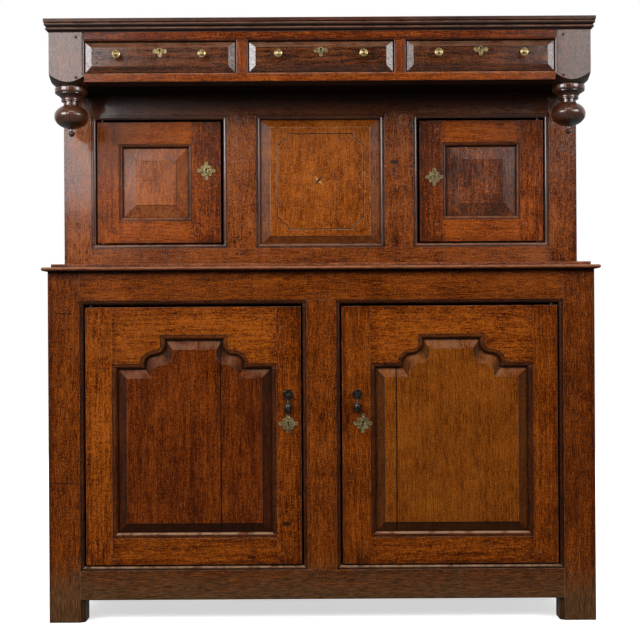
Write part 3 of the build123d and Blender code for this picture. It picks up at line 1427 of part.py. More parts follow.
# ---- Drawers --------------------------------------------------------------------------------------
front_y = (front + drawer_front_setback, front + drawer_front_setback + drawer_front_thickness)
drawer_back = front_y[1] - drawer_rebate + drawer_length
bottom_z = (drawer_z[0] + drawer_bottom_rise,
            drawer_z[0] + drawer_bottom_rise + drawer_bottom_thickness)
knob_back = knob_disc_height - knob_projection
knob_face = knob_boss_height - knob_projection
lobe_offset = drawer_escutcheon_width / 2 - drawer_escutcheon_lobe
plate_z = drawer_key_z - drawer_escutcheon_drop
foot_z = plate_z + drawer_escutcheon_middle - drawer_escutcheon_height + drawer_escutcheon_foot
for name, centre in drawer_centres.items():
    half = drawer_half[name]
    x = (centre - half, centre + half)
    inner_x = (x[0] + drawer_side_thickness, x[1] - drawer_side_thickness)
    housing_x = (inner_x[0] - drawer_housing, inner_x[1] + drawer_housing)
    field_x = (x[0] + drawer_bevel_end, x[1] - drawer_bevel_end)
    field_z = (drawer_front_z[0] + drawer_bevel_bottom, drawer_front_z[1] - drawer_bevel_top)
    bottom_board = (housing_x, (front_y[1] - drawer_housing, drawer_back), bottom_z)
    lock_z = (drawer_front_z[1] - drawer_lock_height, drawer_front_z[1])
    lock_x = (centre - drawer_lock_width / 2, centre + drawer_lock_width / 2)
    lock_y = (front_y[1] - lock_depth, front_y[1])
    lock_box = (lock_x, lock_y, lock_z)

    with BuildPart() as drawer_front:
        block(x, (front_y[0] + drawer_bevel_depth, front_y[1]), drawer_front_z)
        with BuildSketch(facing_front(front_y[0] + drawer_bevel_depth)):
            rectangle_outline(x, drawer_front_z)()
        with BuildSketch(facing_front(front_y[0])):
            rectangle_outline(field_x, field_z)()
        loft(ruled=True)
        for side_x in ((x[0], inner_x[0]), (inner_x[1], x[1])):
            block(side_x, (front_y[1] - drawer_rebate, front_y[1]), drawer_front_z, Mode.SUBTRACT)
        block(*bottom_board, Mode.SUBTRACT)
        block(*lock_box, Mode.SUBTRACT)
        with BuildSketch(facing_front(front_y[0], centre)) as key:
            keyhole(drawer_key_z)
        extrude(key.sketch, amount=-drawer_front_thickness, mode=Mode.SUBTRACT)
        bore([(centre - knob_offset, drawer_brass_z), (centre + knob_offset, drawer_brass_z)],
             knob_shank_radius, front_y)
    save(f"drawer_{name}_front", drawer_front)

    side_z = (drawer_z[0], drawer_z[0] + drawer_side_height)
    drawer_sides = []
    for side_x in ((x[0], inner_x[0]), (inner_x[1], x[1])):
        with BuildPart() as drawer_side:
            block(side_x, (front_y[1] - drawer_rebate, drawer_back), side_z)
            block(*bottom_board, Mode.SUBTRACT)
        drawer_sides.append(drawer_side)
    with BuildPart() as drawer_back_board:
        block(inner_x, (drawer_back - drawer_side_thickness, drawer_back), (bottom_z[1], side_z[1]))
    with BuildPart() as drawer_bottom:
        block(*bottom_board)
    save(f"drawer_{name}_box", *drawer_sides, drawer_back_board, drawer_bottom)

    with BuildPart() as brasses:
        for knob_x in (centre - knob_offset, centre + knob_offset):
            with BuildSketch(Plane(origin=(knob_x, front_y[0], drawer_brass_z))):
                with BuildLine():
                    Polyline((0, drawer_front_thickness), (knob_shank_radius, drawer_front_thickness),
                             (knob_shank_radius, 0), (knob_neck_radius + knob_flare, 0),
                             (knob_neck_radius, -knob_flare), (knob_neck_radius, knob_back),
                             (knob_radius - knob_rim, knob_back - knob_rim))
                    ThreePointArc((knob_radius - knob_rim, knob_back - knob_rim),
                                  (knob_radius, (knob_back + knob_face) / 2 - knob_rim / 2),
                                  (knob_radius - knob_rim, knob_face))
                    Line((knob_radius - knob_rim, knob_face), (knob_boss_radius, knob_face + knob_dish))
                    TangentArc((0, -knob_projection), (knob_boss_radius, knob_face + knob_dish),
                               tangent=(1, 0))
                    Line((0, -knob_projection), (0, drawer_front_thickness))
                make_face()
            revolve(axis=Axis((knob_x, front_y[0], drawer_brass_z), (0, 1, 0)))
        with BuildSketch(facing_front(front_y[0], centre)):
            with Locations((0, plate_z)):
                Circle(drawer_escutcheon_middle)
            with Locations((-lobe_offset, plate_z), (lobe_offset, plate_z)):
                Circle(drawer_escutcheon_lobe)
            with Locations((0, foot_z)):
                Circle(drawer_escutcheon_foot)
            with Locations((0, (plate_z + foot_z) / 2)):
                Rectangle(drawer_escutcheon_foot, plate_z - foot_z)
            with BuildSketch(mode=Mode.SUBTRACT):
                keyhole(drawer_key_z)
        extrude(amount=escutcheon_thickness)
    save(f"drawer_{name}_brasses", brasses)

    bolt_x = (centre - bolt_height / 2, centre + bolt_height / 2)
    bolt_top = drawer_front_z[1] - bolt_clearance
    bolt_z = (bolt_top - bolt_length, bolt_top)
    with BuildPart() as drawer_lock:
        block(*lock_box)
        block((bolt_x[0] - bolt_clearance, bolt_x[1] + bolt_clearance),
              (drawer_bolt_y[0] - bolt_clearance, drawer_bolt_y[1] + bolt_clearance),
              (bolt_z[0] - bolt_clearance, drawer_front_z[1]), Mode.SUBTRACT)
        with BuildSketch(facing_front(front_y[0], centre)) as key:
            keyhole(drawer_key_z)
        extrude(key.sketch, amount=-drawer_front_thickness, mode=Mode.SUBTRACT)
    save(f"drawer_{name}_lock", drawer_lock)

    with BuildPart() as drawer_bolt:
        block(bolt_x, drawer_bolt_y, bolt_z)
    save(f"drawer_{name}_bolt", drawer_bolt)
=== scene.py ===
import json
import math
import random

import bmesh
import bpy
import numpy as np
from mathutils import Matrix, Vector


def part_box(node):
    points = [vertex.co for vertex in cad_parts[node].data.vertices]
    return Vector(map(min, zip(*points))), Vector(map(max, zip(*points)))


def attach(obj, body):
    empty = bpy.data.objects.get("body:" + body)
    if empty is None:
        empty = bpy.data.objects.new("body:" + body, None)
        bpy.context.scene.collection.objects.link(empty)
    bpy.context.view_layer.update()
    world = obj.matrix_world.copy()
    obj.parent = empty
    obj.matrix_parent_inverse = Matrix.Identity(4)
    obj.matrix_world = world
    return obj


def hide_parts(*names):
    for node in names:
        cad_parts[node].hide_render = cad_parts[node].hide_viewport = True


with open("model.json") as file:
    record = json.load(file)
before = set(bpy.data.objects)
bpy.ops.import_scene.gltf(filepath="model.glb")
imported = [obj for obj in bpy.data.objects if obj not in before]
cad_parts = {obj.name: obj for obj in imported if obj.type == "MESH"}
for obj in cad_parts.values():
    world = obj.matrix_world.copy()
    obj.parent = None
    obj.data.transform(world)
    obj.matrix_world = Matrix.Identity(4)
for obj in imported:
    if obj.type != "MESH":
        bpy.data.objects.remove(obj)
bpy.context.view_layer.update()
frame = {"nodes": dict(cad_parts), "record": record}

record = frame["record"]
BODY_OF = {node: body for body, nodes in record["behaviour"]["bodies"].items() for node in nodes}
SLOT_OF = {part["node"]: part["material_slot"] for part in record["subparts"]}

# ---- Lines of the joinery, in metres ----------------------------------------------------
DOOR_RAILS = {       # node: (X span between the stiles, Z below which and above which are rails)
    "lower_door_left_frame": ((-0.5625, -0.1210), 0.2385, 0.6785),
    "lower_door_right_frame": ((0.1310, 0.5680), 0.2385, 0.6785),
    "upper_door_left_frame": ((-0.5705, -0.3635), 1.1015, 1.2995),
    "upper_door_right_frame": ((0.3465, 0.5665), 1.1015, 1.2995),
}
BASE_FACE = -0.256                   # Y of the front faces
DOOR_FACE = {"lower": -0.253, "upper": -0.078}
UPPER_FACE = -0.081
FIELD_Y = -0.0755                    # face of the centre panel's field
PEG_PROUD = 0.0002                   # least that a peg stands proud of its door
RAIL_HAIR = 0.0001                   # a face right on the upper line belongs to the head rail
RAIL_SPLIT_Z = {                     # Z between the foot rail and the head rail
    "base_front_rails": 0.5, "upper_front_rails": 1.2, "frieze_rails_and_dividers": 1.5,
}
STAGE_SPLIT_Z = 0.95                 # between the base and the upper stage
BOARD_JOINT = {"lower_door_left_panel": -0.2710, "lower_door_right_panel": 0.2010}
CORNICE = (-0.268, 0.7385)           # front, and half the width
DIVIDERS = (0.0035, 0.212, 0.0175)   # middle, half distance apart and half width
DIVIDER_Z = (1.4735, 1.5565)         # where the dividers show between the rails
FRIEZE_RAIL_BACK = -0.2255
DRAWER_BOTTOM_Z = 1.4855
DRAWER_BACK_Y = 0.1745
RUNNER_SPLIT_Z = 1.0                 # between the shelf's bearers and the drawers' runners
RUNNER_SPLIT_X = 0.4
BACK_RAIL_Y = 0.2445
BACK_RAIL_REACH = 0.684              # half the width of a back rail
BACK_BOARD_Y = 0.2698
SIDE_RAILS_PER_METRE = 4
SIDE_PANELS_PER_METRE = 2
FLOOR_BOARDS_TOP = 0.3
SHELF_JOINT_Y = 0.03
BACK_BOARDS = (-0.7, 0.2)            # where a row of boards begins, and a board's width
FLOOR_BOARDS = (-0.7, 0.233)
TOP_BOARDS = (-0.3, 0.15)
TONES = {            # lighter or darker members; the others vary by chance
    ("lower_door_left_frame", "stile_a"): 0.5, ("lower_door_left_frame", "stile_b"): -0.5,
    ("lower_door_left_frame", "head_rail"): 0.6, ("lower_door_left_frame", "foot_rail"): -0.1,
    ("lower_door_right_frame", "stile_a"): -0.3, ("lower_door_right_frame", "stile_b"): -0.4,
    ("lower_door_right_frame", "head_rail"): 0.4, ("lower_door_right_frame", "foot_rail"): 0.0,
    ("upper_door_left_frame", "stile_a"): 0.1, ("upper_door_left_frame", "stile_b"): -0.7,
    ("upper_door_left_frame", "head_rail"): 1.5, ("upper_door_left_frame", "foot_rail"): 0.5,
    ("upper_door_right_frame", "stile_a"): -1.2, ("upper_door_right_frame", "stile_b"): -0.3,
    ("upper_door_right_frame", "head_rail"): 0.5, ("upper_door_right_frame", "foot_rail"): 0.4,
    ("upper_door_left_panel", "all"): 0.6, ("upper_door_right_panel", "all"): -1.9,
    ("base_front_posts", "leftFalse"): 0.1, ("base_front_posts", "rightFalse"): -0.4,
    ("base_front_rails", "foot_rail"): -0.8, ("base_front_rails", "head_rail"): 0.2,
    ("frieze_rails_and_dividers", "foot_rail"): 0.4,
    ("frieze_rails_and_dividers", "head_rail"): -0.9,
    ("base_muntin", "all"): 0.3, ("upper_centre_panel", "all"): 0.1,
}


# ---- Members: which piece of wood a face belongs to, and the way its grain runs ---------
def peg_at(c):
    """The name of a peg, told from the others by the centimetre that it is at."""
    return f"peg{round(c.x, 2)}_{round(c.z, 2)}"


def board_at(place, row):
    """The number of a board in its row."""
    start, width = row
    return int((place - start) / width)


def middle_x(node):
    """The X of the middle of a node."""
    low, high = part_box(node)
    return (low.x + high.x) / 2


def is_divider(c):
    """Whether a point of the frieze is on an upright between two drawers."""
    middle, apart, half = DIVIDERS
    between_rails = DIVIDER_Z[0] < c.z < DIVIDER_Z[1]
    behind_rail = c.z > DIVIDER_Z[0] and c.y > FRIEZE_RAIL_BACK
    return abs(abs(c.x - middle) - apart) < half and (between_rails or behind_rail)


def member_of(node, c):
    """A name for the piece of wood at a point of a node, and its grain axis."""
    side = "left" if c.x < 0 else "right"
    if node in DOOR_RAILS:
        (low, high), foot, shoulder = DOOR_RAILS[node]
        if c.y < DOOR_FACE[node.split("_")[0]] - PEG_PROUD:
            return peg_at(c), "Y"
        if low < c.x < high and c.z < foot:
            return "foot_rail", "X"
        if low < c.x < high and c.z > shoulder - RAIL_HAIR:
            return "head_rail", "X"
        return ("stile_a" if c.x < (low + high) / 2 else "stile_b"), "Z"
    if node in BOARD_JOINT:
        return ("board_a" if c.x < BOARD_JOINT[node] else "board_b"), "Z"
    if node in ("base_front_posts", "corner_posts", "upper_front_stiles", "upper_muntins",
                "back_posts"):
        return f"{side}{c.z > STAGE_SPLIT_Z}", "Z"
    if node == "carcass_pegs":
        return peg_at(c), "Y"
    if node == "cornice":
        is_front = (c.y - CORNICE[0]) < (CORNICE[1] - abs(c.x))
        return ("front", "X") if is_front else (side, "Y")
    if node in RAIL_SPLIT_Z:
        if "dividers" in node and is_divider(c):
            return f"divider{side}", "Z"
        return ("foot_rail" if c.z < RAIL_SPLIT_Z[node] else "head_rail"), "X"
    if node == "frieze_side_boards":
        return side, "Y"
    if node.endswith("_box"):
        if c.z < DRAWER_BOTTOM_Z:
            return "bottom", "X"
        return ("back", "X") if c.y > DRAWER_BACK_Y else (f"side{c.x > middle_x(node)}", "Y")
    if node == "runners_and_bearers":
        return f"{side}{c.z > RUNNER_SPLIT_Z}{abs(c.x) > RUNNER_SPLIT_X}", "Y"
    if node == "side_and_back_rails":
        if c.y > BACK_RAIL_Y and abs(c.x) < BACK_RAIL_REACH:
            return f"back{c.z > RAIL_SPLIT_Z['base_front_rails']}", "X"
        return f"{side}{int(c.z * SIDE_RAILS_PER_METRE)}", "Y"
    if node == "side_panels":
        return f"{side}{int(c.z * SIDE_PANELS_PER_METRE)}", "Z"
    if node == "back_boards":
        if c.y < BACK_BOARD_Y:
            return "rail", "X"
        return f"board{c.z > STAGE_SPLIT_Z}{board_at(c.x, BACK_BOARDS)}", "Z"
    if node == "base_floor_and_shelf_boards":
        if c.z < FLOOR_BOARDS_TOP:
            return f"floor{board_at(c.x, FLOOR_BOARDS)}", "Y"
        return f"shelf{c.y > SHELF_JOINT_Y}", "X"
    if node == "top_and_soffit_boards":
        is_top = c.z > RAIL_SPLIT_Z["frieze_rails_and_dividers"]
        return f"{is_top}{board_at(c.y, TOP_BOARDS)}", "X"
    if node == "base_muntin" or node.endswith("_panel"):
        return "all", "Z"
    return "all", "X"


AXIS_ORDER = {"X": (0, 2, 1), "Y": (1, 2, 0), "Z": (2, 0, 1)}
GRAIN_SLOPE = 0.025                  # most that a member's grain runs out
PITH_ASIDE = 0.09                    # where the tree's middle was, from a member's middle
PITH_BEHIND = (0.07, 0.16)
GRAIN_START = (3, 60)                # each member shows another stretch of the grain
TONE_BY_CHANCE = 0.5
LEAST_HALF_SIZE = 1e-6


def attribute(mesh, name, values):
    """Give each corner of a mesh a number or three."""
    kind, key = ("FLOAT_VECTOR", "vector") if values.ndim > 1 else ("FLOAT", "value")
    layer = mesh.attributes.new(name, kind, "CORNER")
    layer.data.foreach_set(key, values.astype(np.float32).ravel())


def dress(node, material):
    """A copy of a CAD node that knows the grain of each of its members, in a new material."""
    mesh = frame["nodes"][node].data.copy()
    mesh.materials.clear()
    mesh.materials.append(material)
    mesh.polygons.foreach_set("material_index", np.zeros(len(mesh.polygons), np.int32))
    points = np.empty(len(mesh.vertices) * 3, np.float64)
    mesh.vertices.foreach_get("co", points)
    points = points.reshape(-1, 3)
    corner_vertex = np.empty(len(mesh.loops), np.int32)
    mesh.loops.foreach_get("vertex_index", corner_vertex)
    groups = {}
    for polygon in mesh.polygons:
        groups.setdefault(member_of(node, polygon.center), []).append(polygon.loop_indices)
    wood = np.zeros((len(mesh.loops), 3))
    spread = np.zeros((len(mesh.loops), 3))
    tone = np.zeros(len(mesh.loops))
    for (key, axis), loops in sorted(groups.items(), key=lambda item: item[0][0]):
        chance = random.Random(f"{node}/{key}")
        corners = np.concatenate([np.arange(run.start, run.stop) for run in loops])
        co = points[corner_vertex[corners]][:, AXIS_ORDER[axis]]
        middle = (co.min(0) + co.max(0)) / 2
        across = co[:, 1:] - middle[1:]
        slope = chance.uniform(-GRAIN_SLOPE, GRAIN_SLOPE)
        pith = (chance.uniform(-PITH_ASIDE, PITH_ASIDE), chance.uniform(*PITH_BEHIND))
        wood[corners, 0] = co[:, 0] + chance.uniform(*GRAIN_START)
        wood[corners, 1] = across[:, 0] + pith[0] + slope * (co[:, 0] - middle[0])
        wood[corners, 2] = across[:, 1] + pith[1]
        half_size = np.maximum((co.max(0) - co.min(0)) / 2, LEAST_HALF_SIZE)
        spread[corners] = (co - middle) / half_size
        by_chance = chance.uniform(-TONE_BY_CHANCE, TONE_BY_CHANCE)
        tone[corners] = TONES.get((node, key), by_chance)
    attribute(mesh, "wood", wood)
    attribute(mesh, "spread", spread)
    attribute(mesh, "tone", tone)
    piece = bpy.data.objects.new(f"oak_{node}", mesh)
    bpy.context.scene.collection.objects.link(piece)
    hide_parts(node)
    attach(piece, BODY_OF[node])


# ---- Node graphs ------------------------------------------------------------------------
GRAIN_PATTERNS = {   # cells per metre along the grain and across it, detail, roughness, warp
    "sway": (2.2, 9.0, 2.0, 0.5, 0.0),
    "fibre": (34.0, 420.0, 3.0, 0.7, 0.3),
    "streak": (6.0, 90.0, 3.0, 0.6, 0.5),
    "pore": (80.0, 620.0, 1.0, 0.5, 0.0),
    "speckle": (300.0, 420.0, 1.0, 0.5, 0.0),
    "cloud": (5.0, 16.0, 3.0, 0.6, 0.5),
    "fleck": (150.0, 40.0, 2.0, 0.5, 1.5),
}
SPACE_PATTERNS = {   # cells per metre, detail, roughness, warp
    "mottle": (9.0, 5.0, 0.65, 0.6),
    "stain": (3.4, 4.0, 0.6, 0.5),
    "rub": (28.0, 3.0, 0.6, 0.0),
    "wobble": (40.0, 2.0, 0.5, 0.0),
    "drift": (3.0, 2.0, 0.5, 0.0),
    "swell": (9.0, 2.0, 0.5, 0.0),
    "ripple": (70.0, 2.0, 0.5, 0.0),
    "metal_cloud": (160.0, 4.0, 0.6, 0.3),
    "metal_speck": (900.0, 3.0, 0.6, 0.0),
}
MASKS = {            # value where the mask starts and where it ends, and what it is at each
    "pore": (0.56, 0.68, 0.0, 1.0),
    "fleck": (0.54, 0.66, 0.0, 1.0),
    "stain": (0.52, 0.74, 0.0, 1.0),
    "rub": (0.3, 0.6, 0.0, 1.0),
    "edge": (0.99, 0.88, 0.0, 1.0),
    "near_floor": (0.05, 0.20, 0.75, 0.0),
    "scuffed_fibre": (0.3, 0.7, 0.0, 1.0),
    "tilted_up": (0.06, 0.25, 0.0, 1.0),
    "not_level": (0.85, 0.98, 1.0, 0.3),
    "level_roughness": (0.85, 0.98, 0.0, 0.6),
    "partly_forward": (-0.05, -0.3, 0.0, 1.0),
    "sunk_forward": (-0.15, -0.4, 0.0, 1.0),
    "sunk_not_up": (0.2, 0.6, 1.0, 0.2),
    "forward": (-0.6, -0.8, 0.0, 1.0),
    "facing_down": (-0.8, -0.4, 1.0, 0.0),
    # painted shade on faces that look down, a little deeper high up
    "underside_shade_height": (1.0, 1.38, 0.85, 0.97),
    # painted shadow of the frieze, darkening up to just under it
    "canopy_shadow": (1.350, 1.435, 0.0, 0.75),
    "metal_edge": (0.99, 0.85, 0.0, 1.0),
    "metal_bright": (0.35, 0.7, 0.0, 1.0),
    "metal_dull": (0.3, 0.95, 0.5, 0.0),
}
BEVEL_SAMPLES = 4


def shade(colour, factor):
    """A darker or lighter colour of the same hue."""
    return tuple(min(1.0, factor * c) for c in colour)


class Graph:
    """A short way to write a material's node tree."""

    def __init__(self, name):
        self.material = bpy.data.materials.new(name)
        self.material.use_nodes = True
        self.tree = self.material.node_tree
        self.shader = self.tree.nodes["Principled BSDF"]

    def node(self, kind, **settings):
        made = self.tree.nodes.new(kind)
        for key, value in settings.items():
            setattr(made, key, value)
        return made

    def put(self, socket, value):
        if isinstance(value, bpy.types.NodeSocket):
            self.tree.links.new(value, socket)
        elif isinstance(value, (tuple, list)) and len(value) == 3 and socket.type == "RGBA":
            socket.default_value = (*value, 1)
        else:
            socket.default_value = value

    def math(self, operation, *values, clamp=False):
        made = self.node("ShaderNodeMath", operation=operation, use_clamp=clamp)
        for socket, value in zip(made.inputs, values):
            self.put(socket, value)
        return made.outputs[0]

    def times(self, a, b):
        return self.math("MULTIPLY", a, b)

    def plus(self, a, b):
        return self.math("ADD", a, b)

    def swing(self, value, amount):
        """A noise as a change to either side of nothing."""
        return self.times(self.math("SUBTRACT", value, 0.5), amount)

    def distance(self, a, b):
        return self.math("ABSOLUTE", self.math("SUBTRACT", a, b))

    def split(self, vector):
        made = self.node("ShaderNodeSeparateXYZ")
        self.put(made.inputs[0], vector)
        return list(made.outputs)

    def noise(self, place, scale, detail, roughness, distortion):
        made = self.node("ShaderNodeTexNoise")
        self.put(made.inputs["Vector"], place)
        for key, value in (("Scale", scale), ("Detail", detail), ("Roughness", roughness),
                           ("Distortion", distortion)):
            self.put(made.inputs[key], value)
        return made.outputs["Fac"]

    def space(self, name, place):
        """A pattern that doesn't follow the grain."""
        return self.noise(place, *SPACE_PATTERNS[name])

    def window(self, value, low, high, to_low=0.0, to_high=1.0):
        made = self.node("ShaderNodeMapRange", interpolation_type="SMOOTHSTEP")
        for key, setting in (("Value", value), ("From Min", low), ("From Max", high),
                             ("To Min", to_low), ("To Max", to_high)):
            self.put(made.inputs[key], setting)
        return made.outputs["Result"]

    def mask(self, name, value):
        return self.window(value, *MASKS[name])

    def blend(self, factor, a, b):
        made = self.node("ShaderNodeMix", data_type="RGBA")
        self.put(made.inputs["Factor"], factor)
        self.put(made.inputs[6], a)
        self.put(made.inputs[7], b)
        return made.outputs[2]

    def ramp(self, value, stops):
        made = self.node("ShaderNodeValToRGB")
        elements = made.color_ramp.elements
        while len(elements) < len(stops):
            elements.new(0.5)
        for element, (place, colour) in zip(elements, stops):
            element.position = place
            element.color = (*colour, 1)
        self.put(made.inputs[0], value)
        return made.outputs[0]

    def open_air(self, samples, reach):
        """How open a point is: 1 in the open, less in a hollow."""
        occlusion = self.node("ShaderNodeAmbientOcclusion", samples=samples)
        occlusion.inputs["Distance"].default_value = reach
        return occlusion.outputs["AO"]

    def soft_edges(self, radius):
        """A normal that rounds the edges, and how much it turns from the plain one there."""
        bevel = self.node("ShaderNodeBevel", samples=BEVEL_SAMPLES)
        bevel.inputs["Radius"].default_value = radius
        turn = self.node("ShaderNodeVectorMath", operation="DOT_PRODUCT")
        self.put(turn.inputs[0], bevel.outputs[0])
        self.put(turn.inputs[1], self.node("ShaderNodeNewGeometry").outputs["Normal"])
        return bevel.outputs[0], turn.outputs["Value"]

    def bump(self, height, normal, strength, depth):
        made = self.node("ShaderNodeBump")
        made.inputs["Strength"].default_value = strength
        made.inputs["Distance"].default_value = depth
        self.put(made.inputs["Height"], height)
        self.put(made.inputs["Normal"], normal)
        return made.outputs[0]

    def finish(self, **values):
        for key, value in values.items():
            self.put(self.shader.inputs[key.replace("_", " ")], value)
        return self.material


# ---- Oak --------------------------------------------------------------------------------
RINGS_PER_METRE = 120.0
SWAY = 0.06                          # how far the rings wander, in metres
FIBRE_TONE, SPECKLE_TONE, STREAK_TONE = 2.1, 2.0, 2.0
RING_TONE, MOTTLE_TONE, CLOUD_TONE = 0.6, 1.4, 0.6
PORE_DARKENING, PORE_SHADE = 0.4, 0.3
STAIN_DARKENING, STAIN_SHADE = 0.3, 0.9
RIM_DARKENING = 0.5
RIM_RAGGED = 0.7
RIM_REACH = (0.5, 1.05)
END_STEEPNESS = 4.0                  # the dark rim is this much shorter along a member
SCUFF_RAGGED = 0.16
SCUFF_DARK, SCUFF_LIGHT = (0.034, 0.016, 0.007), (0.150, 0.078, 0.032)
GRIME_AND_SHADE_COLOUR = (0.006, 0.0025, 0.001)
GRIME_AND_SHADE_RAGGED = 0.35
HOLLOW = (0.35, 0.93)                # openness where the soiling and painted shade are whole and where they end
WOOD_AIR = (8, 0.009)                # samples of the air round a point, and how far off
# radius of the rounded edges and of the lighter rims along them; wider on the centre field, for a
# painted highlight round its cut lines
EDGE_RADIUS, FIELD_EDGE_RADIUS = 0.0016, 0.0024
FLANK_TURN = (0.04, 0.16)            # how far a side slants where its painted shade starts and is whole
BELOW_TURN = (-0.16, -0.04)
BELOW_SHARE = 1.4                    # painted shade on overhung sides, next to upright ones
CANOPY_RAGGED = 0.06
SUNK_START = (0.0005, 0.0012)        # depths behind the face, of mouldings that get painted shade
SUNK_END = (0.026, 0.030)
SUNK_SHADE = 0.55
FIELD_MIDDLE = (0.0, 1.2015)
BORDER_REACH = (0.1240, 0.1365)      # half width and half height of the cut border
BORDER_FADE = 0.001
CUT_START_Y = -0.0752                # behind the field's face and before the cuts' floor
CUT_FADE = 0.0002
MARK_CORE = (0.6, 0.4)               # share of a mark's half length and half height that is whole
MARK_RAGGED = 0.006
MARK_DEPTH = 0.85
JOINT_COLOUR = (0.004, 0.002, 0.001)
JOINT_DRIFT = 0.004
JOINT_WIDTH = (0.0008, 0.0026)
JOINT_DARKENING = 0.95
JOINT_DEPTH = 2.0
FINE_BUMP = (0.35, 0.0006)           # strength, and depth in metres
BROAD_BUMP = (0.4, 0.003)
RIPPLE_SHARE = 0.12
FIBRE_RELIEF, PORE_RELIEF = 0.5, 0.6
MOTTLE_DULLING, FIBRE_DULLING, DIRT_AND_SHADE_DULLING = 0.6, 0.4, 0.5
DULL_RANGE = (0.3, 0.8)
COAT_ROUGHNESS = 0.09


